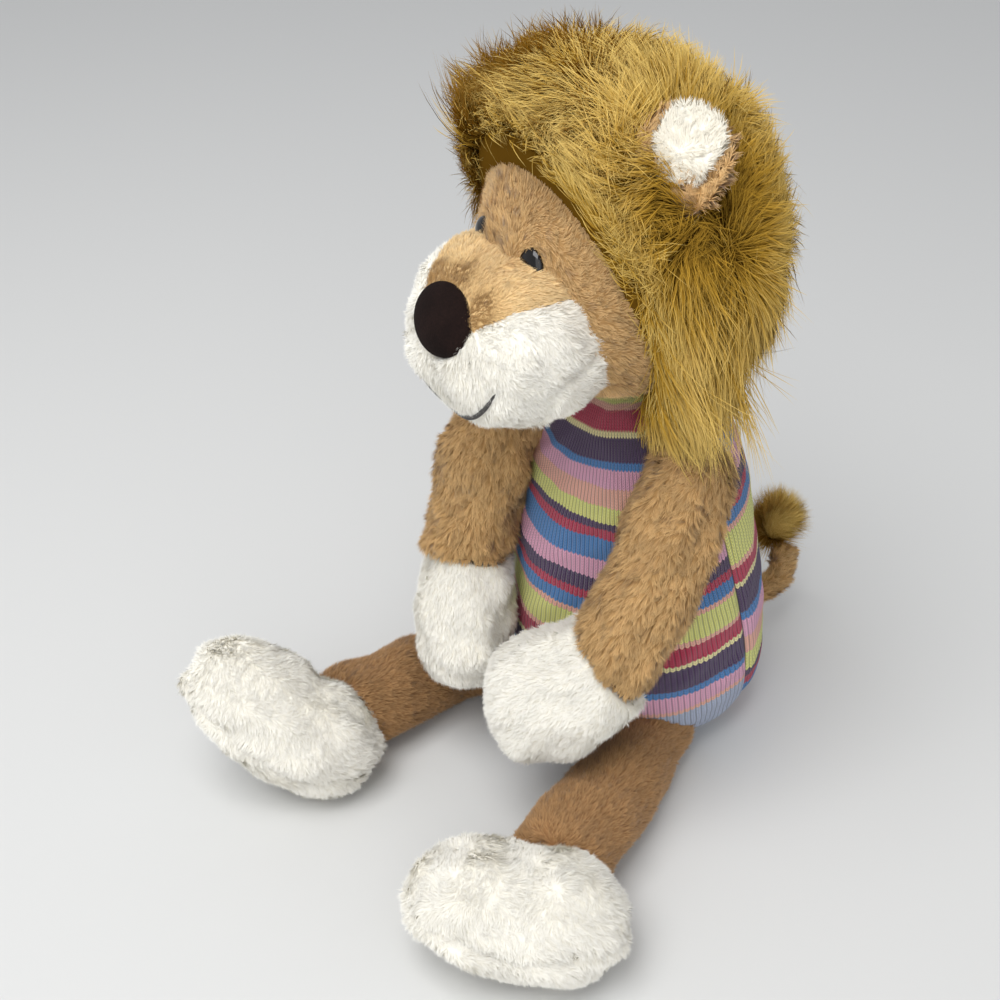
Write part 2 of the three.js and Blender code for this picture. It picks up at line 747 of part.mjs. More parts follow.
for (const [name, arm] of Object.entries(arms)) {
  const torsoCut = swept(torsoAround, { pivot: arm.root, axis: arm.axis, from: 0, to: armRange });
  const pawPath = spread(arm.root, pawPathShares[name], armReach);
  const wrist = new THREE.CatmullRomCurve3(pawPath).getTangentAt(0);
  const beyondWrist = placed(
    block(point(-armReach, -armReach, -gap), point(armReach, armReach, armReach)),
    new THREE.Matrix4().compose(
      pawPath[0],
      new THREE.Quaternion().setFromUnitVectors(point(0, 0, 1), wrist),
      point(1, 1, 1),
    ),
  );
  const form = stuffed({
    path: spread(arm.root, armPathShares[name], armReach),
    shares: limbShares,
    width: armRadius,
    depth: armRadius,
    across: point(1, 0, 0),
    sides: limbSides,
    steps: 12,
  });
  const paw = stuffed({
    path: pawPath,
    shares: pawShares,
    width: arm.pawWidth,
    depth: pawHalfDepth,
    across: arm.pawAcross,
    sides: limbSides,
    steps: 10,
    square: limbSquareShare,
  });
  add(group, `arm_${name}`, cut(form, torsoCut, beyondWrist, ...legTools), tan);
  add(group, `paw_${name}`, cut(paw, torsoCut, ...legTools, ...(otherPaw ? [otherPaw] : [])), cream);
  otherPaw = grown(paw, gap);
}

// Tail: it starts inside the back seam, and swings about the place where it leaves the skin
const tailRoot = point(tailAside, torsoRadius, tailUp);
const tailPathShares = [
  [0, -0.15, 0], [0.35, 0.27, 0.1], [0.6, 0.51, 0.35], [0.56, 0.63, 0.7],
];
const tailPath = spread(tailRoot, tailPathShares, tailReach);
const tailForm = stuffed({
  path: tailPath,
  shares: [[0, 0], [0.01, 0.6], [0.08, 1], [0.5, 1], [0.9, 1], [0.99, 0.6], [1, 0]],
  width: tailRadius,
  depth: tailRadius,
  across: point(0.8, -0.6, 0),
  sides: 8,
  steps: 9,
});
const tuftShares = point(-0.55, 0.25, 0.9); // its middle, from the end of the cord
const tuftMiddle = tailPath.at(-1).clone().addScaledVector(tuftShares, tuftRadius);
const tuft = moved(
  puff(point(tuftRadius, tuftRadius, tuftHalfHeight), 1, 10, 7),
  ...tuftMiddle.toArray(),
);
const tailTorso = swept(torsoAround, {
  pivot: tailRoot, axis: point(0, 0, 1), from: -tailRange, to: tailRange,
});
add(group, 'tail_cord', cut(tailForm, tailTorso, grown(tuft, gap)), tan);
add(group, 'tail_tuft', tuft, gold);

export default group;
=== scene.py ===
import math

import bpy
import numpy as np
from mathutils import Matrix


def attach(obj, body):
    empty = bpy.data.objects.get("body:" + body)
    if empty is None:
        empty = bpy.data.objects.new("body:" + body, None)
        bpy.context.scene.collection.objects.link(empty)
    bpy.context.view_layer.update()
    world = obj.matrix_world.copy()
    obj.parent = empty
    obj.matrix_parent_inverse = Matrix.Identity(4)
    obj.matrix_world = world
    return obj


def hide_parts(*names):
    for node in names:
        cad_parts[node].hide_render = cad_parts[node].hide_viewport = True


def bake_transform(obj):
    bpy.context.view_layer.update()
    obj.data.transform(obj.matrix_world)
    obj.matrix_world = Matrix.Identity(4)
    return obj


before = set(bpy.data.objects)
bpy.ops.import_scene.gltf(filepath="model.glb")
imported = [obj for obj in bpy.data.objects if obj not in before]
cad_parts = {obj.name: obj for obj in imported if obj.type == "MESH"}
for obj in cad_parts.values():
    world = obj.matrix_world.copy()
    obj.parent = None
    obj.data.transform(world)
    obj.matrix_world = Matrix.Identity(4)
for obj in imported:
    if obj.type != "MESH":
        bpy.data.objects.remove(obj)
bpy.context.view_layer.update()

# Camera, floor and light
# The camera stands where the photograph was taken from: 42 degrees round to the lion's left and
# 36 degrees above it. The floor and the room are plain and pale, with a soft key and a soft fill.
view_turn, view_down = 42, 36
lamps_aim = np.array([0, -0.03, 0.14])
scene = bpy.context.scene
scene.view_settings.view_transform = "Standard"
camera = bpy.data.objects.new("camera", bpy.data.cameras.new("camera"))
camera.data.sensor_width = 36
camera.data.lens = 50.4
camera.location = (0.2552, -0.3642, 0.4212)
camera.rotation_euler = (math.radians(90 - view_down), 0, math.radians(view_turn))
scene.collection.objects.link(camera)
scene.camera = camera


def tone(red, green, blue):
    """A colour given as it looks on a screen, 0 to 255, as the linear colour that nodes take."""
    screen = np.array([red, green, blue]) / 255
    linear = np.where(screen <= 0.04045, screen / 12.92, ((screen + 0.055) / 1.055) ** 2.4)
    return (*linear.tolist(), 1.0)


def wired(tree, kind, inputs=(), **settings):
    """A node of that kind. Inputs pairs a socket's name or number with a value or an output."""
    made = tree.nodes.new(kind)
    for key, value in settings.items():
        setattr(made, key, value)
    for key, value in dict(inputs).items():
        if isinstance(value, bpy.types.NodeSocket):
            tree.links.new(value, made.inputs[key])
        else:
            made.inputs[key].default_value = value
    return made


def blank_material(name, **plain):
    """A material's tree and its Principled BSDF, with plain values on the BSDF's own sockets."""
    material = bpy.data.materials.new(name)
    material.use_nodes = True
    tree = material.node_tree
    surface = tree.nodes["Principled BSDF"]
    for key, value in plain.items():
        surface.inputs[key.replace("_", " ")].default_value = value
    return material, tree, surface


floor_mesh = bpy.data.meshes.new("floor")
floor_mesh.from_pydata([(-4, -4, 0), (4, -4, 0), (4, 4, 0), (-4, 4, 0)], [], [(0, 1, 2, 3)])
floor = bpy.data.objects.new("floor", floor_mesh)
scene.collection.objects.link(floor)
floor_material, _, floor_surface = blank_material("pale_floor", Roughness=0.7)
floor_surface.inputs["Base Color"].default_value = tone(214, 214, 212)
floor_mesh.materials.append(floor_material)

world = bpy.data.worlds.new("room")
world.use_nodes = True
world.node_tree.nodes["Background"].inputs["Color"].default_value = tone(236, 238, 242)
world.node_tree.nodes["Background"].inputs["Strength"].default_value = 0.62
scene.world = world
for lamp_name, place, size, power in (
    ("key", (0.0, -0.54, 1.2), 0.8, 11.0),
    ("fill", (0.6, -0.95, 0.5), 1.2, 4.8),
):
    lamp = bpy.data.objects.new(lamp_name, bpy.data.lights.new(lamp_name, "AREA"))
    lamp.data.size = size
    lamp.data.energy = power
    lamp.location = place
    away = np.array(place) - lamps_aim
    lamp.rotation_euler = (
        math.atan2(math.hypot(away[0], away[1]), away[2]),
        0,
        math.atan2(away[0], -away[1]),
    )
    scene.collection.objects.link(lamp)

# Knitted body
# Two panels of machine-knitted stocking stitch, front and back, sewn together down the sides
# over a stuffed pear shape. The stripes run round the body, and don't meet at the side seams.


def catmull(points, pulls, steps):
    """Points on a Catmull-Rom curve: between two points it is the cubic with the slopes that the
    neighbours give, where pulls are the knot spans. All points of a span come out at once."""
    share = np.linspace(0, 1, steps, endpoint=False)[:, None]
    square, cube = share**2, share**3
    spans = []
    for i in range(len(points) - 3):
        a, b, c, d = points[i : i + 4]
        u, v, w = pulls[i : i + 3]
        start = ((b - a) / u - (c - a) / (u + v) + (c - b) / v) * v
        end = ((c - b) / v - (d - b) / (v + w) + (d - c) / w) * v
        spans.append(
            (2 * cube - 3 * square + 1) * b
            + (cube - 2 * square + share) * start
            + (3 * square - 2 * cube) * c
            + (cube - square) * end
        )
    return np.vstack([*spans, points[-2]])


def even(curve, scale, count):
    """The curve again as count points that are spaced evenly, measured in scaled units."""
    steps = np.linalg.norm(np.diff(curve * scale, axis=0), axis=1)
    walked = np.concatenate([[0], np.cumsum(steps)])
    places = np.linspace(0, walked[-1], count)
    columns = [np.interp(places, walked, curve[:, k]) for k in range(curve.shape[1])]
    return np.stack(columns, axis=1), walked[-1]


def unit(vectors):
    """Each vector over its own length."""
    return vectors / np.maximum(np.linalg.norm(vectors, axis=-1, keepdims=True), 1e-9)


def stuffed(path, shares, width, depth, across, sides, rings, square=1.0, bow=0.0):
    """A stuffed form as a grid of rings by sides. A ring's middle is a place on the path, its
    size the girth there, and its shape cos and sin over (|cos|^p + |sin|^p)^(1/p), p = 2 square.
    Bow bends a ring's two sides back by bow times (out times girth) squared."""
    path = np.asarray(path, float)
    path = np.vstack([2 * path[0] - path[1], path, 2 * path[-1] - path[-2]])
    pulls = np.sqrt(np.linalg.norm(np.diff(path, axis=0), axis=1))
    line, length = even(catmull(path, pulls, 120), 1.0, 400)
    shares = np.asarray(shares, float)
    shares = np.vstack([shares[0], shares, shares[-1]])
    outline = catmull(shares, np.ones(len(shares)), 40)
    outline[:, 0] = np.clip(outline[:, 0], 0, 1)
    outline, _ = even(outline, np.array([length, max(width, depth)]), rings)
    along, girth = outline[:, 0], np.maximum(outline[:, 1], 0)
    girth[[0, -1]] = 0
    place = np.linspace(0, 1, len(line))
    middle = np.stack([np.interp(along, place, line[:, k]) for k in range(3)], axis=1)
    heading = np.gradient(line, axis=0)
    heading = unit(np.stack([np.interp(along, place, heading[:, k]) for k in range(3)], axis=1))
    across = np.asarray(across, float)
    side = unit(across - (heading @ across)[:, None] * heading)
    up = np.cross(heading, side)
    angle = 2 * np.pi * np.arange(sides) / sides
    reach = (np.abs(np.cos(angle)) ** (2 * square) + np.abs(np.sin(angle)) ** (2 * square)) ** (
        -0.5 / square
    )
    out = girth[:, None] * (np.cos(angle) * reach)[None]
    rise = girth[:, None] * (np.sin(angle) * reach)[None]
    grid = (
        middle[:, None]
        + side[:, None] * (width * out)[..., None]
        + up[:, None] * (depth * rise - bow * out**2)[..., None]
    )
    return grid, along


def closed_faces(rings, sides):
    """Triangles of a grid whose first and last rings are single points, its columns joined."""
    index = 1 + np.arange((rings - 2) * sides).reshape(rings - 2, sides)
    beside = np.roll(index, -1, axis=1)
    last = 1 + (rings - 2) * sides
    walls = [
        np.stack([index[:-1], beside[:-1], beside[1:]], -1).reshape(-1, 3),
        np.stack([index[:-1], beside[1:], index[1:]], -1).reshape(-1, 3),
        np.stack([np.zeros(sides, int), beside[0], index[0]], -1),
        np.stack([index[-1], beside[-1], np.full(sides, last)], -1),
    ]
    return np.vstack(walls)


def closed_points(grid):
    """The grid's points in the order that closed_faces names them."""
    return np.vstack([grid[0, :1], grid[1:-1].reshape(-1, grid.shape[-1]), grid[-1, :1]])


def closed(grid):
    """The points of such a grid and its faces, which point outwards."""
    points = closed_points(grid)
    return points, outward(points, closed_faces(*grid.shape[:2]))


def open_faces(rings, sides):
    """Triangles of a grid that is open on all four edges."""
    index = np.arange(rings * sides).reshape(rings, sides)
    a, b, c, d = index[:-1, :-1], index[:-1, 1:], index[1:, 1:], index[1:, :-1]
    return np.vstack([np.stack([a, b, c], -1).reshape(-1, 3), np.stack([a, c, d], -1).reshape(-1, 3)])


def outward(points, faces):
    """The faces, all turned round if the form that they close has a volume below zero."""
    a, b, c = (points[faces[:, k]] for k in range(3))
    volume = np.einsum("ij,ij->i", a - points.mean(0), np.cross(b - a, c - a)).sum()
    return faces if volume > 0 else faces[:, ::-1]


def normals_of(points, faces):
    """At each point, the sum of its faces' normals, each as long as its face is large."""
    a, b, c = (points[faces[:, k]] for k in range(3))
    normal = np.cross(b - a, c - a)
    total = np.stack(
        [np.bincount(faces.ravel(), np.repeat(normal[:, k], 3), len(points)) for k in range(3)],
        axis=1,
    )
    return unit(total)


def waves(points, size, seed, terms=9):
    """A smooth vector noise of about unit strength: sines of the place along random directions,
    with wavelengths about size."""
    rng = np.random.default_rng(seed)
    direction = unit(rng.normal(size=(terms, 3))) * (2 * np.pi / size)
    direction *= rng.uniform(0.6, 1.5, (terms, 1))
    phase = rng.uniform(0, 2 * np.pi, (terms, 3))
    angle = points @ direction.T
    total = [np.sin(angle + phase[:, k]).sum(-1) for k in range(3)]
    return np.stack(total, -1) / math.sqrt(terms / 2)


def shell(points, faces, thickness, **marks):
    """A sheet given a thickness: its points again, moved inward along their normals, the same
    faces turned round, and a wall along each edge that only one face has."""
    count = len(points)
    inner = points - thickness * normals_of(points, faces)
    sides = np.vstack([faces[:, [0, 1]], faces[:, [1, 2]], faces[:, [2, 0]]])
    key = np.sort(sides, axis=1)
    _, first, times = np.unique(key, axis=0, return_index=True, return_counts=True)
    rim = sides[first[times == 1]]
    walls = np.vstack([
        np.stack([rim[:, 1], rim[:, 0], rim[:, 0] + count], -1),
        np.stack([rim[:, 1], rim[:, 0] + count, rim[:, 1] + count], -1),
    ])
    marks = {key: np.concatenate([value, value]) for key, value in marks.items()}
    return np.vstack([points, inner]), np.vstack([faces, faces[:, ::-1] + count, walls]), marks


def piece(name, points, faces, material, uv=None, normals=None, **marks):
    """A smooth mesh object from points in millimetres, with its marks as attributes. Where its
    normals are given, light falls on each point as on a surface that faces along its normal."""
    mesh = bpy.data.meshes.new(name)
    mesh.vertices.add(len(points))
    mesh.vertices.foreach_set("co", (points * 0.001).astype(np.float32).ravel())
    mesh.loops.add(faces.size)
    mesh.loops.foreach_set("vertex_index", faces.astype(np.int32).ravel())
    mesh.polygons.add(len(faces))
    mesh.polygons.foreach_set("loop_start", np.arange(0, faces.size, 3, dtype=np.int32))
    mesh.update(calc_edges=True)
    mesh.polygons.foreach_set("use_smooth", np.ones(len(faces), bool))
    if normals is not None:
        mesh.normals_split_custom_set_from_vertices(normals.tolist())
    if uv is not None:
        layer = mesh.uv_layers.new(name="cloth")
        layer.data.foreach_set("uv", uv[faces.ravel()].astype(np.float32).ravel())
    for key, value in marks.items():
        mark = mesh.attributes.new(key, "FLOAT", "POINT")
        mark.data.foreach_set("value", np.asarray(value, np.float32))
    mesh.materials.append(material)
    made = bpy.data.objects.new(name, mesh)
    scene.collection.objects.link(made)
    return made


torso_height, torso_radius, torso_lean, torso_bulge, floor_cut = 176.0, 52.5, 12.0, 4.5, 0.5
seam_behind, seam_lean, seat_height = 18.0, math.radians(12.4), 5.0
torso_path = [
    (0, -ahead * (torso_bulge if ahead < 0 else torso_lean),
     -floor_cut + height * (torso_height + floor_cut))
    for ahead, height in (
        (-1, 0), (-1, 0.07), (-1, 0.15), (-0.6, 0.26), (0, 0.45), (0.33, 0.66), (0.75, 0.85), (1, 1),
    )
]
torso_shares = [
    (0, 0), (0, 0.45), (0.01, 0.58), (0.05, 0.81), (0.1, 0.93), (0.17, 0.99), (0.27, 1),
    (0.38, 0.97), (0.52, 0.9), (0.66, 0.81), (0.77, 0.7), (0.86, 0.56), (0.93, 0.42),
    (0.98, 0.27), (1, 0),
]
columns, course = 72, 1.1  # stitches across a panel, and the height of a row
stripe_rows = (
    ("purple", 10), ("blue", 3), ("pink", 7), ("peach", 7), ("lime", 6), ("purple", 3),
    ("crimson", 4), ("blue", 8), ("pink", 7), ("purple", 5), ("crimson", 3), ("blue", 5),
    ("peach", 2), ("lime", 10), ("peach", 2), ("crimson", 7), ("cream", 2),
)
yarns = {
    "purple": tone(66, 36, 84), "blue": tone(62, 126, 190), "pink": tone(230, 168, 196),
    "peach": tone(238, 178, 158), "lime": tone(226, 226, 130), "crimson": tone(186, 36, 74),
    "cream": tone(240, 228, 168), "ice": tone(174, 184, 208),
}
rows_of_knit = sum(rows for _, rows in stripe_rows) + 22  # below them the yarn is ice blue


def pinch(distance, depth, breadth):
    """How far a seam pulls the cloth in: depth at the seam, less on both sides as a bell curve."""
    return depth * np.exp(-((distance / breadth) ** 2))


def arithmetic(tree):
    """A function that puts a Math node of some kind into the tree and gives its output."""

    def sum_of(kind, first, second=0.0, third=0.0):
        made = wired(tree, "ShaderNodeMath", {0: first, 1: second, 2: third}, operation=kind)
        return made.outputs[0]

    return sum_of


def relief(tree, surface, height, strength, distance):
    """A bump on the surface, where a height of 1 stands for the distance in metres."""
    bump = wired(tree, "ShaderNodeBump", {
        "Height": height, "Strength": strength, "Distance": distance,
    })
    tree.links.new(bump.outputs[0], surface.inputs["Normal"])


def knit_material():
    """Stocking stitch. Across a column the two legs of each stitch slope down to the middle, so
    a row's edge zigzags, and each leg is a rounded ridge with a groove on both sides of it. The
    colour is painted lighter on the ridges and darker in the grooves, as painted shade."""
    material, tree, surface = blank_material("striped_knit", Roughness=0.92, Sheen_Weight=0.25)
    uv = wired(tree, "ShaderNodeUVMap", uv_map="cloth")
    split = wired(tree, "ShaderNodeSeparateXYZ", {0: uv.outputs[0]})
    sum_of = arithmetic(tree)
    fuzz = wired(tree, "ShaderNodeTexNoise", {"Vector": uv.outputs[0], "Scale": 0.8, "Detail": 3})
    wobble = sum_of("MULTIPLY", sum_of("SUBTRACT", fuzz.outputs["Fac"], 0.5), 0.5)
    column = sum_of("FRACT", split.outputs["X"])
    from_middle = sum_of("ABSOLUTE", sum_of("SUBTRACT", column, 0.5))
    slope = sum_of("MULTIPLY", from_middle, 1.7)
    row = sum_of("ADD", sum_of("ADD", split.outputs["Y"], slope), wobble)
    whole = sum_of("FLOOR", row)
    total = sum(rows for _, rows in stripe_rows)
    place = sum_of("FRACT", sum_of("DIVIDE", sum_of("ADD", whole, 0.5), total))
    ramp = wired(tree, "ShaderNodeValToRGB", {0: place})
    ramp.color_ramp.interpolation = "CONSTANT"
    stops = ramp.color_ramp.elements
    stops[0].color = yarns[stripe_rows[0][0]]
    stops.remove(stops[1])
    done = stripe_rows[0][1]
    for yarn, rows in stripe_rows[1:]:
        stops.new(done / total).color = yarns[yarn]
        done += rows
    leg = sum_of("SINE", sum_of("MULTIPLY", sum_of("FRACT", sum_of("MULTIPLY", column, 2.0)), math.pi))
    wale = sum_of("SINE", sum_of("MULTIPLY", column, math.pi))
    turn = sum_of("SINE", sum_of("MULTIPLY", sum_of("FRACT", row), math.pi))
    ridge = sum_of("MULTIPLY_ADD", leg, 0.5, sum_of("MULTIPLY", wale, 0.5))
    ridge = sum_of("MULTIPLY", ridge, sum_of("MULTIPLY_ADD", turn, 0.6, 0.45))
    below = wired(tree, "ShaderNodeMix", {
        0: sum_of("GREATER_THAN", whole, rows_of_knit - 0.5), 6: ramp.outputs["Color"],
        7: yarns["ice"],
    }, data_type="RGBA")
    fluff = wired(tree, "ShaderNodeTexNoise", {"Vector": uv.outputs[0], "Scale": 4.0, "Detail": 4})
    patch = wired(tree, "ShaderNodeTexNoise", {"Vector": uv.outputs[0], "Scale": 0.06, "Detail": 2})
    # Painted shade: the base colour is lighter on the stitch ridges and darker in the grooves between
    # them, and lighter where the fluff is high, since the fluff also raises the bump.
    light = sum_of("MULTIPLY_ADD", ridge, 0.85, 0.52)
    light = sum_of("MULTIPLY", light, sum_of("MULTIPLY_ADD", fluff.outputs["Fac"], 0.5, 0.75))
    light = sum_of("MULTIPLY", light, sum_of("MULTIPLY_ADD", patch.outputs["Fac"], 0.3, 0.85))
    shaded = wired(
        tree, "ShaderNodeMix", {0: 1.0, 6: below.outputs[2], 7: light},
        data_type="RGBA", blend_type="MULTIPLY",
    )
    tree.links.new(shaded.outputs[2], surface.inputs["Base Color"])
    height = sum_of("MULTIPLY_ADD", fluff.outputs["Fac"], 0.25, ridge)
    relief(tree, surface, height, 1.0, 0.0009)
    return material


knit = knit_material()


panel_sides, knit_thickness = 150, 1.4
side_seam_depth, seat_seam_depth, knit_seam_breadth = 1.4, 0.9, 2.0
torso_rings, _ = stuffed(torso_path, torso_shares, torso_radius, torso_radius, (1, 0, 0), 4, 240)
ring_middle = torso_rings.mean(1)
ring_out = torso_rings[:, 0] - ring_middle
ring_back = torso_rings[:, 1] - ring_middle
ring_girth = np.linalg.norm(ring_out, axis=1)
walked = np.concatenate([[0], np.cumsum(np.linalg.norm(np.diff(torso_rings[:, 0], axis=0), axis=1))])


def torso_panel(name, front, first_height, stretch):
    """One knitted panel: on each ring, the angles from seam to seam, where a seam lies on a
    plane that leans forward with the body. A panel has as many columns at the neck as at the
    belly, which stretches them, and its rows are counted down from the first height. Stretch
    gives how many rows have passed where that many would have passed in loose cloth."""
    lean = math.tan(seam_lean)
    middle, back = ring_middle, ring_back
    share = (seam_behind - middle[:, 2] * lean - middle[:, 1]) / np.maximum(
        back[:, 1] + back[:, 2] * lean, 0.1
    )
    keep = (middle[:, 2] > seat_height + 0.3) & (ring_girth > 12) & (np.abs(share) < 0.93)
    keep[:8] = False
    seam = np.arcsin(share[keep])[:, None]
    spread = np.linspace(0, 1, panel_sides)[None]
    begin, end = (np.pi - seam, 2 * np.pi + seam) if front else (seam, np.pi - seam)
    angle = begin + (end - begin) * spread
    girth = ring_girth[keep][:, None]
    to_seam = girth * np.minimum(spread, 1 - spread) * (end - begin)
    to_seat = (walked[keep] - walked[keep][0])[:, None]
    cell = np.stack([angle * 40, walked[keep][:, None] + 0 * angle, 0 * angle], -1)
    lump = 0.7 * waves(cell, 40, 3)[..., 0] + 0.3 * waves(cell, 12, 4)[..., 0] - 0.5
    share = 1 + (
        0.8 * lump * np.clip(to_seam / 6, 0, 1) - pinch(to_seam, side_seam_depth, knit_seam_breadth)
        - pinch(to_seat, seat_seam_depth, knit_seam_breadth)
    ) / girth
    points = ring_middle[keep][:, None] + share[..., None] * (
        np.cos(angle)[..., None] * ring_out[keep][:, None]
        + np.sin(angle)[..., None] * ring_back[keep][:, None]
    )
    first = np.interp(first_height, ring_middle[1:-1, 2], walked[1:-1])
    loose, passed = np.array(stretch).T
    rows = np.interp((first - walked[keep]) / course, loose, passed)[:, None] + 0 * angle
    uv = np.stack([columns * spread + 0 * angle, rows], -1).reshape(-1, 2)
    points = points.reshape(-1, 3)
    faces = open_faces(keep.sum(), panel_sides)
    if (normals_of(points, faces) * (points - [0, 0, torso_height / 2])).sum() < 0:
        faces = faces[:, ::-1]
    points, faces, marks = shell(points, faces, knit_thickness, u=uv[:, 0], v=uv[:, 1])
    made = piece(name, points, faces, knit, uv=np.stack([marks["u"], marks["v"]], -1))
    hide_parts(name)
    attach(made, "torso")
    return made


torso_front = torso_panel("torso_front", True, 154.2, [
    (-60, -60), (0, 0), (8, 10.3), (16, 20), (25, 29.2), (36, 40), (46, 48.3), (54, 55.1), (62, 62),
    (160, 160),
])
torso_back = torso_panel("torso_back", False, 82.0, [
    (-120, -114), (-57, -51), (-48.6, -43), (-35.7, -31), (-26.2, -22), (-10.4, -11.2), (-1.6, -2),
    (12.7, 10), (16.3, 13), (33.9, 27), (46.4, 34), (60, 46), (130, 116),
])

# Seat panel
# A round of pale blue woven cloth that closes the body underneath. It is pressed flat by the
# weight of the pellets, and only its edge shows, below the last row of the knit.


def two_tones(tree, surface, mask, dark, light):
    """The surface's colour: dark where the mask is 0, and light where it is 1."""
    shade = wired(tree, "ShaderNodeMix", {0: mask, 6: dark, 7: light}, data_type="RGBA")
    tree.links.new(shade.outputs[2], surface.inputs["Base Color"])


def woven_material(name, colour, thread):
    """Plain weave on the piece's own coordinates: sines along X and Y that take turns on top.
    Where neither is on top, between the threads, the colour is darker: painted shade.
    """
    material, tree, surface = blank_material(name, Roughness=0.85, Sheen_Weight=0.1)
    place = wired(tree, "ShaderNodeTexCoord")
    across = wired(tree, "ShaderNodeTexWave", {
        "Vector": place.outputs["Object"], "Scale": 1 / thread, "Distortion": 0.4,
    })
    along = wired(tree, "ShaderNodeTexWave", {
        "Vector": place.outputs["Object"], "Scale": 1 / thread, "Distortion": 0.4,
    }, bands_direction="Y")
    weave = arithmetic(tree)("MAXIMUM", across.outputs["Fac"], along.outputs["Fac"])
    # Painted shade: the colour is darker in the gaps between threads, where the bump is low.
    two_tones(tree, surface, weave, tuple(0.72 * c for c in colour[:3]) + (1,), colour)
    relief(tree, surface, weave, 0.5, 0.0003)
    return material


edge = (ring_middle[:, 2] > 0.1) & (ring_middle[:, 2] < seat_height)
outer = np.stack([ring_girth[edge], ring_middle[edge, 2]], -1)
wall = 1.3
inner = outer[::-1] - [wall, 0]
inner[:, 1] = np.maximum(inner[:, 1], wall)
seat_outline = np.vstack([
    [(0, 0.1), (8, 0.1), (16, 0.1), (outer[0, 0] - 2, 0.1)], outer, inner, [(12, wall), (0, wall)],
])
turn = np.linspace(0, 2 * np.pi, 96, endpoint=False)
pucker = 0.35 * np.sin(31 * turn) * np.clip(seat_outline[:, :1] / 30, 0, 1) ** 3
seat_grid = np.stack([
    (seat_outline[:, :1] - np.abs(pucker)) * np.cos(turn),
    torso_bulge + (seat_outline[:, :1] - np.abs(pucker)) * np.sin(turn),
    seat_outline[:, 1:] * np.ones_like(turn),
], -1)
seat_points, seat_faces = closed(seat_grid)
seat_panel = piece(
    "seat_panel", seat_points, seat_faces, woven_material("seat_cloth", tone(176, 190, 214), 0.0011)
)
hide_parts("seat_panel")
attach(seat_panel, "torso")

# Filling and pellet pouch
# Loose polyester fibre fills the torso, and a nylon bag of pellets lies at its base. They are
# inside the cover and never seen, but they are pieces of the toy.


def grain(tree, scale, detail, roughness=0.5):
    """A noise on the piece's own coordinates, with about scale lumps a metre."""
    place = wired(tree, "ShaderNodeTexCoord")
    noise = wired(tree, "ShaderNodeTexNoise", {
        "Vector": place.outputs["Object"], "Scale": scale, "Detail": detail, "Roughness": roughness,
    })
    return noise.outputs["Fac"]


def fibre_material():
    """Matted white fibre: one noise as colour and relief, so the fibre is painted greyer where
    the relief is low, as painted shade in its hollows.
    """
    material, tree, surface = blank_material("fibre", Roughness=1.0, Sheen_Weight=0.4)
    mat = grain(tree, 400.0, 6, 0.7)
    # Painted shade: the fibre is greyer where the same noise makes the relief low.
    two_tones(tree, surface, mat, tone(214, 213, 208), tone(250, 250, 247))
    relief(tree, surface, mat, 0.8, 0.001)
    return material


def stuffing(name, grid, material, body, inset, lump, lowest):
    """A closed form inside a cover: the grid moved inward by inset, with lumps on it."""
    points, faces = closed(grid)
    normal = normals_of(points, faces)
    points = points - normal * (inset + lump * (1 + waves(points, 22, 8)[:, :1]))
    points[:, 2] = np.maximum(points[:, 2], lowest)
    made = piece(name, points, faces, material)
    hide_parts(name)
    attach(made, body)
    return made


fibre = fibre_material()
torso_grid, _ = stuffed(torso_path, torso_shares, torso_radius, torso_radius, (1, 0, 0), 60, 70)
stuffing("torso_filling", torso_grid, fibre, "torso", 4.6, 0.5, 3.2)
pouch_path = [(0, torso_bulge, height) for height in (1.4, 13, 24.9)]
pouch_shares = [
    (0, 0), (0, 0.5), (0.1, 0.85), (0.3, 0.98), (0.5, 1), (0.7, 0.98), (0.9, 0.85), (1, 0.5), (1, 0),
]
pouch_grid, _ = stuffed(pouch_path, pouch_shares, 26.5, 26.5, (1, 0, 0), 48, 40)
stuffing(
    "pellet_pouch", pouch_grid, woven_material("pouch_nylon", tone(150, 160, 172), 0.0006),
    "torso", 0.4, 0.4, 1.5,
)

# Legs
# Tubes of short brown-tan plush, stuffed firm, that lie forward on the floor. Each is sewn in
# at the hip, which lets it hang down over an edge, and to the back of its foot.


def scattered(points, faces, count, rng, weight=None):
    """Places spread evenly over a skin: a face is drawn by its area times its weight, and a
    place in it by sqrt(u) and v, which fill a triangle evenly. Also the smooth normal there."""
    a, b, c = (points[faces[:, k]] for k in range(3))
    area = np.linalg.norm(np.cross(b - a, c - a), axis=1)
    if weight is not None:
        area = area * weight[faces].mean(1)
    pick = rng.choice(len(faces), count, p=area / area.sum())
    u, v = np.sqrt(rng.random(count)), rng.random(count)
    parts = np.stack([1 - u, u * (1 - v), u * v], -1)[..., None]
    normal = normals_of(points, faces)
    place = (points[faces[pick]] * parts).sum(1)
    return place, unit((normal[faces[pick]] * parts).sum(1))


def clumped(place, size, seed):
    """For each place, the middle of its clump and the clump's number. A clump is a cell of a
    grid that waves have warped, so the cells are uneven."""
    cell = np.floor((place + 0.6 * size * waves(place, 3 * size, seed)) / size).astype(int)
    _, which = np.unique(cell, axis=0, return_inverse=True)
    which = which.ravel()
    count = np.bincount(which)
    middle = [np.bincount(which, place[:, k]) / count for k in range(3)]
    return np.stack(middle, -1)[which], which


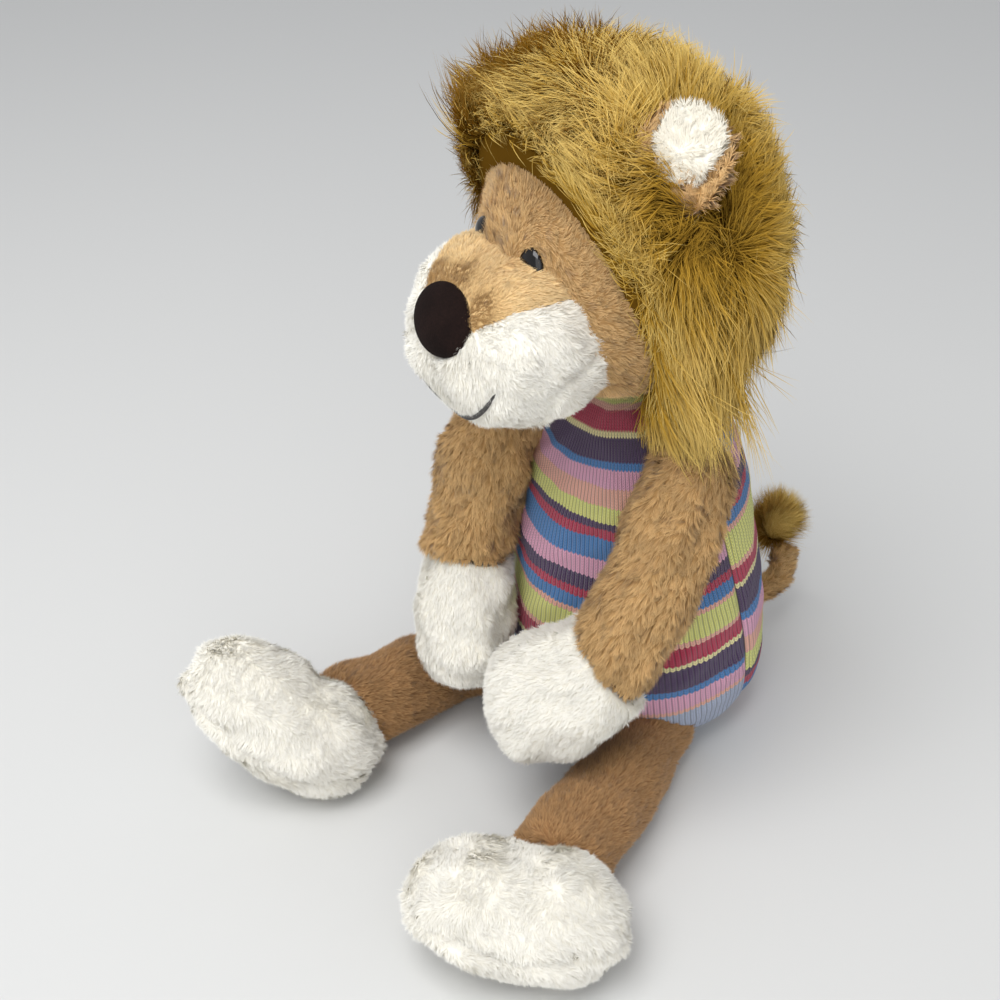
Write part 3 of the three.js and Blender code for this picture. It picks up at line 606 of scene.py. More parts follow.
def pile(points, faces, look, density, lay, seed, weight=None):
    """Short pile on a skin, density hairs a square millimetre. A hair is one pointed blade. It
    rises by lift along the skin's normal and leans by sqrt(1 - lift^2) along the lay, and its
    tip is drawn towards the middle of its tuft. A tuft is lit as if it were rounded: its hairs
    face along the skin's normal, turned a little up, and outward by how far they stand from the
    tuft's middle."""
    rng = np.random.default_rng(seed)
    a, b, c = (points[faces[:, k]] for k in range(3))
    area = 0.5 * np.linalg.norm(np.cross(b - a, c - a), axis=1)
    if weight is not None:
        area = area * weight[faces].mean(1)
    count = int(density * area.sum() / (1))
    place, normal = scattered(points, faces, count, rng, weight)

    def flat(vectors):
        return vectors - (vectors * normal).sum(-1, keepdims=True) * normal

    middle, which = clumped(place, look["tuft"], seed + 1)
    own = np.random.default_rng(seed + 2).normal(size=(which.max() + 1, 3))[which]
    flow = unit(flat(lay(place) + look["swirl"] * waves(place, look["swirl_size"], seed)))
    flow = unit(flow + look["tangle"] * flat(own) + 0.18 * flat(rng.normal(size=place.shape)))
    lift = np.clip(look["lift"] + 0.1 * own[:, :1] + 0.1 * rng.normal(size=(count, 1)), 0.08, 0.95)
    length = look["length"] * rng.uniform(0.7, 1.15, (count, 1))
    apart = flat(middle - place)
    tip = place + length * (lift * normal + np.sqrt(1 - lift**2) * flow) + look["gather"] * apart
    root = place - 0.25 * normal
    half = 0.5 * look["width"] * rng.uniform(0.7, 1.3, (count, 1)) * unit(np.cross(tip - root, normal))
    hairs = np.stack([root - half, root + half, tip], axis=1).reshape(-1, 3)
    hair_faces = np.arange(3 * count).reshape(-1, 3)
    facing = unit(
        normal + np.array([0, 0, 0.3]) - look["round"] * apart / look["tuft"]
        + 0.1 * rng.normal(size=place.shape)
    )
    along = np.tile([0.25, 0.25, look.get("pale", 1.0)], count)
    shade = np.random.default_rng(seed + 3).random(which.max() + 1)[which]
    tint = np.repeat(0.5 * rng.random(count) + 0.5 * shade, 3)
    return hairs, hair_faces, along, tint, np.repeat(facing, 3, axis=0)


def pile_group():
    """Shared look of pile: from the colour at the roots to that at the tips, lighter or darker
    from hair to hair, with broad patches where the pile has been brushed another way."""
    group = bpy.data.node_groups.new("pile_colour", "ShaderNodeTree")
    for name, kind in (("Root", "Color"), ("Middle", "Color"), ("Tip", "Color")):
        group.interface.new_socket(name=name, in_out="INPUT", socket_type=f"NodeSocket{kind}")
    for name in ("Patches", "Patch size", "Contrast"):
        group.interface.new_socket(name=name, in_out="INPUT", socket_type="NodeSocketFloat")
    group.interface.new_socket(name="Color", in_out="OUTPUT", socket_type="NodeSocketColor")
    given, result = wired(group, "NodeGroupInput"), wired(group, "NodeGroupOutput")
    along = wired(group, "ShaderNodeAttribute", attribute_name="along")
    tint = wired(group, "ShaderNodeAttribute", attribute_name="tint")
    sum_of = arithmetic(group)
    lower = wired(group, "ShaderNodeMapRange", {0: along.outputs["Fac"], 1: 0.0, 2: 0.45})
    upper = wired(group, "ShaderNodeMapRange", {0: along.outputs["Fac"], 1: 0.45, 2: 1.0})
    first = wired(group, "ShaderNodeMix", {
        0: lower.outputs[0], 6: given.outputs["Root"], 7: given.outputs["Middle"],
    }, data_type="RGBA")
    second = wired(group, "ShaderNodeMix", {
        0: upper.outputs[0], 6: first.outputs[2], 7: given.outputs["Tip"],
    }, data_type="RGBA")
    place = wired(group, "ShaderNodeTexCoord")
    patch = wired(group, "ShaderNodeTexNoise", {
        "Vector": place.outputs["Object"], "Scale": given.outputs["Patch size"], "Detail": 3,
        "Distortion": 0.6,
    })
    broad = sum_of("MULTIPLY", sum_of("SUBTRACT", patch.outputs["Fac"], 0.5), given.outputs["Patches"])
    single = sum_of("MULTIPLY", sum_of("SUBTRACT", tint.outputs["Fac"], 0.5), given.outputs["Contrast"])
    light = sum_of("ADD", sum_of("ADD", broad, single), 1.0)
    shaded = wired(group, "ShaderNodeMix", {0: 1.0, 6: second.outputs[2], 7: light},
                   data_type="RGBA", blend_type="MULTIPLY")
    group.links.new(shaded.outputs[2], result.inputs["Color"])
    return group


pile_colours = pile_group()


def plush_material(name, root, middle, tip, patches=0.5, patch_size=45.0, contrast=0.4, sheen=0.15,
                   shine=0.25):
    """Plush: the pile's colour on a rough surface with a little sheen."""
    material, tree, surface = blank_material(name, Roughness=0.9, Sheen_Weight=sheen)
    surface.inputs["Specular IOR Level"].default_value = shine
    look = wired(tree, "ShaderNodeGroup", node_tree=pile_colours)
    for key, value in (("Root", root), ("Middle", middle), ("Tip", tip), ("Patches", patches),
                       ("Patch size", patch_size), ("Contrast", contrast)):
        look.inputs[key].default_value = value
    tree.links.new(look.outputs["Color"], surface.inputs["Base Color"])
    return material


short_pile = {
    "length": 3.8, "width": 0.5, "lift": 0.4, "tuft": 2.3, "gather": 0.55, "swirl": 0.6,
    "swirl_size": 26.0, "tangle": 0.3, "round": 0.8,
}
white_pile = {
    "length": 3.4, "width": 0.45, "lift": 0.32, "tuft": 2.0, "gather": 0.3, "swirl": 0.45,
    "swirl_size": 20.0, "tangle": 0.35, "round": 0.25,
}


def furred(name, nodes, skin, faces, base, hair_sets, material, slot_name, fill=0.7, place=None):
    """A piece of a skin and its sets of hairs. Place moves points, and turns normals if told."""
    points, all_faces, normals = [skin], [faces], [normals_of(skin, faces)]
    along, tint = [np.full(len(skin), base)], [np.full(len(skin), 0.5)]
    count = len(skin)
    for hairs, hair_faces, hair_along, hair_tint, facing in hair_sets:
        points.append(hairs)
        all_faces.append(hair_faces + count)
        along.append(hair_along)
        tint.append(hair_tint)
        normals.append(facing)
        count += len(hairs)
    points, normals = np.vstack(points), np.vstack(normals)
    if place is not None:
        points, normals = place(points), place(normals, turn_only=True)
    points[:, 2] = np.maximum(points[:, 2], 0.1)
    made = piece(
        name, points, np.vstack(all_faces), material, normals=normals,
        along=np.concatenate(along), tint=np.concatenate(tint),
    )
    if nodes:
        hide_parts(*nodes)
    return made


def plush(name, nodes, grid, material, look, density, lay, seed, slot_name, inset=1.5, lump=0.5,
          lump_size=24.0, shape=None, weight=None):
    """A stuffed plush piece: the grid moved inward by inset, lumps on it, and pile on its skin."""
    points, faces = closed(grid)
    normal = normals_of(points, faces)
    points = points + normal * (lump * waves(points, lump_size, seed)[:, :1] - inset)
    if shape is not None:
        points = shape(points, normal)
    points[:, 2] = np.maximum(points[:, 2], 0.4)
    share = None if weight is None else weight(points)
    hairs = pile(points, faces, look, density, lay, seed, share)
    return furred(name, nodes, points, faces, 0.35, [hairs], material, slot_name)


brown = plush_material(
    "brown_plush", tone(104, 70, 40), tone(150, 110, 70), tone(186, 146, 100), 0.45, 40.0, 0.35
)
leg_pile = {**short_pile, "length": 3.0, "tuft": 1.8, "gather": 0.35, "tangle": 0.2, "round": 0.5}
leg_reach, leg_radius = 100.0, 19.0
hip_out, hip_ahead, hip_up = 0.476 * torso_radius, 0.133 * torso_radius, 0.737 * leg_radius
leg_shares = [
    (0, 0), (0.02, 0.58), (0.08, 0.82), (0.3, 0.88), (0.6, 0.93), (0.88, 1), (0.97, 0.8), (1, 0),
]
legs = {
    "left": ((hip_out, -hip_ahead, hip_up), [
        (0, 0, 0), (0.14, -0.44, 0.02), (0.22, -0.89, 0.05), (0.27, -1.04, 0.06),
    ]),
    "right": ((-hip_out, -hip_ahead, hip_up), [
        (0, 0, 0), (-0.21, -0.24, 0.02), (-0.33, -0.57, 0.03), (-0.38, -0.89, 0.05),
        (-0.39, -1.04, 0.07),
    ]),
}


def toward(direction):
    """A lay that points the same way everywhere."""
    return lambda place: np.broadcast_to(np.asarray(direction, float), place.shape).copy()


def blended(made, root):
    """The piece's place is baked into its points; root, a point in millimetres, is not used."""
    tuple(0.001 * np.array(root))
    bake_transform(made)


for side, (root, path) in legs.items():
    root = np.array(root)
    line = root + leg_reach * np.array(path)
    grid, _ = stuffed(line, leg_shares, leg_radius, leg_radius, (1, 0, 0), 72, 84)
    made = plush(
        f"leg_{side}", [f"leg_{side}"], grid, brown, leg_pile, 5.2,
        toward(line[0] - line[-1] + [0, 0, -30]), 21 if side == "left" else 22, "brown_plush",
        lump=0.7,
    )
    blended(made, line[0])

# Feet
# Long white feet, blunt at the toe and the heel. The upper and the sole are two panels with a
# seam round the foot, which pulls the pile in along its line. The toe curls up off the floor.
foot_half_width, foot_half_height, sole_share = 25.0, 22.5, 0.6
foot_inset, toe_curl, top_fold, foot_skin = 1.8, 7.5, {"left": 1.0, "right": 3.0}, 1.2
heel_up = 0.889 * foot_half_height
foot_shares = [
    (0, 0), (0.03, 0.45), (0.13, 0.78), (0.3, 0.98), (0.5, 1), (0.7, 0.98), (0.87, 0.78),
    (0.97, 0.45), (1, 0),
]
feet = {
    "left": ((0.427, -1.143), (-0.83, -0.555, 0.06), (0.56, -0.83, 0), 81.0),
    "right": ((-0.32, -1.125), (-0.7, -0.47, 0.54), (0.45, -0.85, -0.2), 86.0),
}
white = plush_material(
    "white_plush", tone(212, 203, 182), tone(240, 236, 224), tone(251, 249, 242), 0.12, 60.0, 0.1,
    sheen=0.0, shine=0.0,
)
foot_pile = {**white_pile, "swirl": 0.55, "tangle": 0.45}
for side, (heel, toe, across, length) in feet.items():
    toe = unit(np.array(toe))
    root = np.array(legs[side][0])
    ball = np.array([root[0] + heel[0] * leg_reach, root[1] + heel[1] * leg_reach, heel_up])
    back = ball - toe * foot_half_height
    grid, _ = stuffed(
        [back, back + toe * length / 2, back + toe * length], foot_shares, foot_half_width,
        foot_half_height, across, 96, 96, square=1.1,
    )
    upright = unit(np.cross(toe, np.array(across, float)))
    seam_up = foot_half_height * (2 * sole_share - 1)

    def split(points, faces, upper, middle=back + toe * length / 2, upright=upright):
        """The faces above or below the seam's plane, and each point's height over it."""
        height = (points - middle) @ upright - seam_up
        above = height[faces].mean(1) > 0
        return faces[above == upper], height

    points, faces = closed(grid)
    normal = normals_of(points, faces)
    _, height = split(points, faces, True)
    dent = pinch(height, 1.6, 2.4)[:, None]
    seed = 31 if side == "left" else 33
    forward = (points - back) @ toe / length
    side_share = (points - back) @ unit(np.array(across, float)) / foot_half_width
    fold = top_fold[side] * np.exp(
        -(((forward - 0.42) / 0.09) ** 2) - ((side_share + 0.8) / 0.6) ** 2
    )
    points = points + normal * (
        0.7 * waves(points, 20, seed)[:, :1] - foot_inset - dent - fold[:, None]
    )
    curl = np.clip((forward - 0.45) / 0.35, 0, 1)
    curl = curl * curl * (3 - 2 * curl) * np.clip((6 - height) / 22, 0, 1)
    points = points + toe_curl * curl[:, None] * upright
    points[:, 2] = np.maximum(points[:, 2], 0.5)
    for name, upper in ((f"foot_{side}", True), (f"foot_sole_{side}", False)):
        chosen, height = split(points, faces, upper)
        kept, chosen = np.unique(chosen, return_inverse=True)
        skin, chosen = points[kept], chosen.reshape(-1, 3)
        hairs = pile(skin, chosen, foot_pile, 6.0, toward([0, 0, -1] - 0.3 * toe), seed + upper)
        skin, chosen, _ = shell(skin, chosen, foot_skin)
        made = furred(name, [name], skin, chosen, 0.5, [hairs], white, "white_plush")
        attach(made, f"leg_{side}")

# Arms and paws
# Long arms in tan plush that hang from the shoulders and end in white paws, which are longer
# haired. A seam joins the two round the wrist.
arm_reach, arm_radius, paw_half_width, paw_half_depth = 100.0, 18.4, 24.5, 20.0
shoulder_out, shoulder_ahead, shoulder_up = (
    0.667 * torso_radius, 0.533 * torso_radius, 0.824 * torso_height,
)
limb_shares = [
    (0, 0), (0.015, 0.34), (0.06, 0.66), (0.15, 0.88), (0.35, 0.94), (0.6, 1), (0.8, 0.98),
    (0.95, 0.7), (1, 0),
]
paw_shares = [
    (0, 0), (0, 0.6), (0.02, 0.82), (0.12, 0.92), (0.4, 1), (0.64, 0.99), (0.82, 0.86),
    (0.94, 0.56), (1, 0),
]
arms = {
    "left": (
        (shoulder_out, -shoulder_ahead, shoulder_up),
        [(0.03, 0.1, 0.14), (0.055, -0.09, -0.17), (0.05, -0.205, -0.43), (-0.035, -0.33, -0.7),
         (-0.15, -0.42, -0.83)],
        [(-0.005, -0.295, -0.68), (-0.15, -0.42, -0.845), (-0.39, -0.52, -1.01)],
        (0.67, -0.1, -0.73), paw_half_width,
    ),
    "right": (
        (-shoulder_out, -shoulder_ahead, shoulder_up),
        [(0.02, 0.1, 0.14), (-0.04, -0.15, -0.13), (-0.07, -0.18, -0.4), (-0.055, -0.285, -0.63),
         (-0.005, -0.32, -0.83)],
        [(-0.05, -0.25, -0.58), (-0.005, -0.34, -0.85), (0.09, -0.43, -1.11)],
        (0.74, 0.67, 0), paw_half_depth,
    ),
}
arm_pile = {
    **short_pile, "length": 4.2, "width": 0.5, "tuft": 2.5, "gather": 0.7, "swirl": 0.9, "pale": 0.9,
}
tan = plush_material(
    "tan_plush", tone(112, 76, 36), tone(182, 143, 91), tone(220, 184, 131), 0.6, 36.0, 0.4
)
for side, (root, path, paw_path, paw_across, paw_width) in arms.items():
    root = np.array(root)
    line = root + arm_reach * np.array(path)
    paw_line = root + arm_reach * np.array(paw_path)
    wrist = unit(paw_line[1] - paw_line[0])
    grid, _ = stuffed(line, limb_shares, arm_radius, arm_radius, (1, 0, 0), 72, 110)

    def cuffed(points, normal, start=paw_line[0], wrist=wrist):
        """Points past the wrist's plane are drawn back onto it, and before it the seam pulls in."""
        past = (points - start) @ wrist
        points = points - np.maximum(past + 0.2, 0)[:, None] * wrist
        return points - normal * pinch(past, 1.3, 2.2)[:, None]

    def up_to_wrist(points, start=paw_line[0], wrist=wrist):
        """No pile grows on the flat end inside the paw."""
        return ((points - start) @ wrist < -0.3).astype(float)

    made = plush(
        f"arm_{side}", [f"arm_{side}"], grid, tan, arm_pile, 5.5, toward(line[-1] - line[0]),
        41 if side == "left" else 42, "tan_plush", lump=0.9, lump_size=20, shape=cuffed,
        weight=up_to_wrist,
    )
    blended(made, line[0])
    grid, _ = stuffed(
        paw_line, paw_shares, paw_width, paw_half_depth, paw_across, 84, 90, square=1.1
    )
    made = plush(
        f"paw_{side}", [f"paw_{side}"], grid, white, white_pile, 6.0,
        toward(paw_line[-1] - paw_line[0]), 51 if side == "left" else 52, "white_plush",
        inset=1.7, lump=0.8, lump_size=18,
    )
    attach(made, f"arm_{side}")

# Head
# A ball of tan plush with the muzzle sewn on in front and the mane behind. The eyes' posts are
# locked inside and pull the cloth in round them. It sits turned a little to the lion's right.
head_height, head_half_width, head_half_depth = 97.0, 47.0, 43.5
head_inset, filling_inset = 0.9, 2.6
head_middle = np.array([0, -(torso_lean + 10.7), torso_height + 41])
head_turn, head_tilt = math.radians(-17.8), math.radians(-2.6)
turn_z = np.array([
    [math.cos(head_turn), -math.sin(head_turn), 0],
    [math.sin(head_turn), math.cos(head_turn), 0],
    [0, 0, 1],
])
turn_y = np.array([
    [math.cos(head_tilt), 0, math.sin(head_tilt)],
    [0, 1, 0],
    [-math.sin(head_tilt), 0, math.cos(head_tilt)],
])
head_frame = turn_z @ turn_y


def on_head(points, turn_only=False):
    """Points of the head's own frame, where it faces -Y and its middle is zero, as seen on the
    toy: turned about Y, then about Z, then moved to the head's middle."""
    return points @ head_frame.T + (0 if turn_only else head_middle)


def dressed(*given, **more):
    """A furred piece of the head, made in the head's frame."""
    made = furred(*given, place=on_head, **more)
    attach(made, "head")
    return made


head_path = [
    (0, -ahead * head_half_depth, up * head_height)
    for ahead, up in ((0.03, -0.485), (0.06, 0.1), (0.03, 0.515))
]
head_shares = [
    (0, 0), (0.015, 0.32), (0.06, 0.6), (0.14, 0.82), (0.27, 0.95), (0.44, 1), (0.6, 0.985),
    (0.7, 0.92), (0.78, 0.83), (0.86, 0.69), (0.94, 0.46), (0.985, 0.24), (1, 0),
]
head_grid, _ = stuffed(
    head_path, head_shares, head_half_width, head_half_depth, (1, 0, 0), 120, 120
)
eye_apart, eye_up, eye_sunk = 28.6, 8.9, 1.0
eye_seats = {
    "left": np.array([eye_apart / 2, eye_sunk - head_half_depth, eye_up]),
    "right": np.array([-eye_apart / 2, eye_sunk - head_half_depth, eye_up]),
}


def near_eyes(points, breadth):
    """The sum over both eyes of a bell curve of the distance from the eye's seat."""
    away = [np.linalg.norm(points - seat, axis=-1) / breadth for seat in eye_seats.values()]
    return np.exp(-(away[0] ** 2)) + np.exp(-(away[1] ** 2))


def face_lay(place):
    """Pile on the face is brushed away from the nose: outward, up and back."""
    flow = place - np.array([0, -75.0, -8.0])
    return unit(flow) + np.array([0, 0.3, 0.1])


head_points, head_faces = closed(head_grid)
head_normals = normals_of(head_points, head_faces)
head_points = head_points + head_normals * (
    0.4 * waves(head_points, 26, 61)[:, :1] - head_inset
    - 0.8 * near_eyes(head_points, 8.0)[:, None]
    + 2.6 * (head_points[:, 1:2] < 0) * np.exp(
        -(((np.abs(head_points[:, :1]) - 7.5) / 4.5) ** 2 + ((head_points[:, 2:3] - 11) / 9) ** 2)
    )
)
mane_tilt = math.radians(20)
mane_axis = np.array([0, math.cos(mane_tilt), math.sin(mane_tilt)])
mane_front, mane_up = 26.0, 12.5
hairline = mane_up * mane_axis[2] - mane_front


def on_face(points):
    """1 in front of the hairline and 0 well behind it."""
    return np.clip((hairline + 8 - points @ mane_axis) / 6, 0, 1)


face_pile = {
    "length": 3.2, "width": 0.46, "lift": 0.34, "tuft": 1.9, "gather": 0.5, "swirl": 0.5,
    "swirl_size": 24.0, "tangle": 0.22, "round": 0.8,
}
face_hairs = pile(
    head_points, head_faces, face_pile, 6.0, face_lay, 62,
    on_face(head_points) * (1 - np.clip(near_eyes(head_points, 3.9), 0, 1)),
)
dressed("head", ["head"], head_points, head_faces, 0.4, [face_hairs], tan, "tan_plush")
filling_points = closed_points(head_grid) - filling_inset * head_normals
head_filling = piece("head_filling", on_head(filling_points), head_faces, fibre)
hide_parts("head_filling")
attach(head_filling, "head")

# Muzzle
# One broad form of two panels: smooth light tan on top, from between the eyes down to the nose,
# and fluffy white cheeks and chin. The seam between them pulls both in.
muzzle_half = np.array([37.0, 31.0, 31.0])
muzzle_middle = np.array([0, 4.0 - head_half_depth, -18.0])
muzzle_square, muzzle_flat, muzzle_slope = 1.15, 1.5, 0.22
panel_half_width = 25.0
panel_shares = np.array([
    (0, -0.1), (0.3, 0), (0.5, 0.25), (0.64, 0.42), (0.96, 0.6), (1.15, 0.67), (1.6, 0.75),
])


def on_muzzle(turn, rise):
    """The muzzle's surface at an angle round from the front and an angle above the middle: a ball
    of three half sizes, where rings of bluntness flat are stacked with bluntness square, and
    lower rings stand further forward."""
    power, flat = 2 * muzzle_square, 2 * muzzle_flat
    ring = (np.abs(np.cos(turn)) ** flat + np.abs(np.sin(turn)) ** flat) ** (-1 / flat)
    wall = (np.abs(np.cos(rise)) ** power + np.abs(np.sin(rise)) ** power) ** (-1 / power)
    up = np.sin(rise) * wall * muzzle_half[2]
    out = np.cos(rise) * wall * ring
    return muzzle_middle + np.stack([
        np.sin(turn) * out * muzzle_half[0],
        -np.cos(turn) * out * muzzle_half[1] + muzzle_slope * up,
        up,
    ], -1)


def edge_rise(turn):
    """The angle above the middle at which the seam crosses each turn: the first of many angles
    where the surface has come up past the seam's line, found for all turns at once."""
    rise = np.radians(np.linspace(-40, 85, 500))[None]
    spot = on_muzzle(turn[:, None], rise + 0 * turn[:, None]) - muzzle_middle
    line = muzzle_half[2] * np.interp(
        np.abs(spot[..., 0]) / panel_half_width, panel_shares[:, 0], panel_shares[:, 1]
    )
    over = spot[..., 2] > line
    return rise[0, np.argmax(over, axis=1)]


def muzzle_panel(begin, end, turns, rises):
    """A patch of the muzzle between two angles above the middle, which are given for each turn,
    and the angle above the middle of each of its points."""
    share = np.linspace(0, 1, rises)[None]
    rise = begin[:, None] + (end - begin)[:, None] * share
    return on_muzzle(turns[:, None] + 0 * rise, rise), rise


seam_turns = np.radians(np.linspace(-178, 178, 240))
seam_line = edge_rise(seam_turns)
seam_line = np.convolve(np.pad(seam_line, 4, mode="edge"), np.ones(9) / 9, mode="valid")
light_tan = plush_material(
    "light_plush", tone(150, 112, 64), tone(226, 192, 136), tone(240, 212, 162), 0.2, 38.0, 0.2
)
smooth_pile = {
    "length": 2.6, "width": 0.42, "lift": 0.3, "tuft": 1.7, "gather": 0.4, "swirl": 0.35,
    "swirl_size": 20.0, "tangle": 0.15, "round": 0.5,
}
muzzle_pile = {**white_pile, "length": 3.0, "tuft": 1.8}


def muzzle_lay(place):
    """White pile on the cheeks is brushed back and down from the nose."""
    return unit(place - np.array([0, -90.0, 10.0])) + np.array([0, 0.4, -0.5])


in_front = np.abs(seam_turns) < np.radians(118)
mouth_half_width, mouth_radius = 22.5, 0.8
mouth_out = np.linspace(-1, 1, 61)


def muzzle_at(direction, lift):
    """The muzzle's surface seen from its middle along a direction, and lifted off it."""
    d = unit(direction)
    x, y, z = d[:, 0], d[:, 1] - muzzle_slope * d[:, 2], d[:, 2]
    x, y, z = x / muzzle_half[0], y / muzzle_half[1], z / muzzle_half[2]
    flat, power = 2 * muzzle_flat, 2 * muzzle_square
    ring = (np.abs(x) ** flat + np.abs(y) ** flat) ** (1 / flat)
    reach = (ring**power + np.abs(z) ** power) ** (-1 / power)
    return muzzle_middle + d * (reach + lift)[:, None]


mouth_line = muzzle_at(np.stack([
    mouth_out * mouth_half_width, -0.62 * muzzle_half[1] + 0 * mouth_out,
    muzzle_half[2] * (0.41 * mouth_out**2 - 0.56),
], -1), -2.0 * np.ones(61))


def below_mouth(points):
    """Distance to the mouth's line, and how far below the nearest of its points a point lies."""
    away = np.linalg.norm(points[:, None] - mouth_line[None], axis=-1)
    near = away.argmin(1)
    return away.min(1), mouth_line[near, 2] - points[:, 2]


nose_spot = np.array([0, -66.0, -9.4])
brown_spots = np.array([
    (15.5, -58.5, 1), (15.5, -62, -4), (-15.5, -58.5, 1), (-15.5, -62, -4), (-5, -60, 2.5),
    (1, -58, 4),
])
crease_from, crease_to = np.array([34.0, -47, -25]), np.array([37.0, -31, -17])


def from_line(points, start, end):
    """Distance from each point to the line between start and end."""
    line = end - start
    share = np.clip((points - start) @ line / (line @ line), 0, 1)[:, None]
    return np.linalg.norm(points - start - share * line, axis=1)


for name, begin, end, turns, look, lay, density, base, material, slot_name, lump in (
    ("muzzle_top", seam_line[in_front], np.full(in_front.sum(), math.radians(100)),
     seam_turns[in_front], smooth_pile, face_lay, 7.0, 0.35, light_tan, "light_plush", 0.3),
    ("muzzle_white", np.full(len(seam_turns), math.radians(-89.9)), seam_line, seam_turns,
     muzzle_pile, muzzle_lay, 6.5, 0.6, white, "white_plush", 0.5),
):
    grid, rise = muzzle_panel(begin, end, turns, 90)
    faces = open_faces(*grid.shape[:2])
    points = grid.reshape(-1, 3)
    normal = normals_of(points, faces)
    if (normal * (points - muzzle_middle)).sum() < 0:
        faces, normal = faces[:, ::-1], -normal
    top = name == "muzzle_top"
    away = np.abs(rise - (begin if top else end)[:, None]).ravel() * muzzle_half[2]
    soft = lump * waves(points, 20, 71)[:, 0] - (0.9 if top else 1.2) - pinch(away, 1.4, 1.9)
    for sign in (1, -1):
        crease = [crease_from * [sign, 1, 1], crease_to * [sign, 1, 1]]
        soft -= pinch(from_line(points, *crease), 2.2, 2.6)
    from_mouth, under = below_mouth(points)
    soft -= pinch(from_mouth, 1.9, 3.0) + 1.3 * np.clip(under / 5, 0, 1) * (points[:, 1] < -45)
    points = points + normal * soft[:, None]
    bare = (points[:, 1] < -24) & (below_mouth(points)[0] > 0.9)
    hairs = pile(points, faces, look, density, lay, 72, bare.astype(float))
    if top:
        brown_near = np.zeros(len(hairs[0]))
        for spot in brown_spots:
            brown_near += np.exp(-((np.linalg.norm(hairs[0] - spot, axis=1) / 6) ** 2))
        hairs = (*hairs[:2], hairs[2] * (1 - 0.9 * np.clip(brown_near, 0, 1)), *hairs[3:])
    skin, skin_faces, _ = shell(points, faces, 1.0)
    dressed(name, [name], skin, skin_faces, base, [hairs], material, slot_name)

# Nose
# A pad of dark brown velvet, wider than tall, sewn on at the front of the muzzle where the two
# panels meet, and leaning back with the muzzle.
nose_half = np.array([15.6, 5.5, 11.6])
nose_lean = math.radians(25)
velvet, tree, surface = blank_material("nose_velvet", Roughness=0.95, Specular_IOR_Level=0.12)
nap = grain(tree, 1400.0, 3)
# The velvet is painted darker where the nap's relief is low, as painted shade, and it also varies in
# broad patches of its own tone.
painted_nap_shade_and_patches = arithmetic(tree)("MULTIPLY", nap, grain(tree, 120.0, 2))
two_tones(tree, surface, painted_nap_shade_and_patches, tone(16, 9, 8), tone(48, 32, 28))
relief(tree, surface, nap, 0.6, 0.0003)


def ball(half, sides, rings, square=1.0):
    """A ball of three half sizes: cos and sin of the rise and of the turn, made blunt."""
    rise = np.linspace(-np.pi / 2, np.pi / 2, rings)[:, None]
    turn = np.linspace(0, 2 * np.pi, sides, endpoint=False)[None]
    power = 2 * square
    wall = (np.abs(np.cos(rise)) ** power + np.abs(np.sin(rise)) ** power) ** (-1 / power)
    ring = (np.abs(np.cos(turn)) ** power + np.abs(np.sin(turn)) ** power) ** (-1 / power)
    return np.stack([
        half[0] * np.cos(rise) * wall * np.cos(turn) * ring,
        half[1] * np.cos(rise) * wall * np.sin(turn) * ring,
        half[2] * np.sin(rise) * wall + 0 * turn,
    ], -1)


lean = np.array([
    [1, 0, 0],
    [0, math.cos(nose_lean), math.sin(nose_lean)],
    [0, -math.sin(nose_lean), math.cos(nose_lean)],
])
nose_points, nose_faces = closed(ball(nose_half, 64, 48) @ lean.T + nose_spot)
nose = piece("nose", on_head(nose_points), nose_faces, velvet)
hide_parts("nose")
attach(nose, "head")

# Mouth
# A wide smile in black satin stitch on the white chin: one raised cord of thread, whose turns
# lie close beside each other across the line.
thread, tree, surface = blank_material("black_thread", Roughness=0.55, Sheen_Weight=0.1)
cloth_uv = wired(tree, "ShaderNodeUVMap", uv_map="cloth")
turns_of_thread = wired(tree, "ShaderNodeTexWave", {
    "Vector": cloth_uv.outputs[0], "Scale": 12.0, "Distortion": 0.5,
}).outputs["Fac"]
# Each turn of thread is painted lighter on top and darker between turns: painted shade that follows the
# relief.
two_tones(tree, surface, turns_of_thread, tone(10, 9, 9), tone(52, 46, 44))
relief(tree, surface, turns_of_thread, 0.7, 0.0003)
mouth_shares = [(0, 0), (0.03, 0.6), (0.15, 1), (0.5, 1), (0.85, 1), (0.97, 0.6), (1, 0)]
mouth_grid, mouth_along = stuffed(
    mouth_line[::6], mouth_shares, mouth_radius, mouth_radius, (0, 0, 1), 16, 90
)
mouth_points, mouth_faces = closed(mouth_grid)
mouth_uv = closed_points(np.repeat(
    np.stack([mouth_along * 6, mouth_along * 0], -1)[:, None], mouth_grid.shape[1], axis=1
))
mouth = piece("mouth_stitch", on_head(mouth_points), mouth_faces, thread, uv=mouth_uv)
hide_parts("mouth_stitch")
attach(mouth, "head")

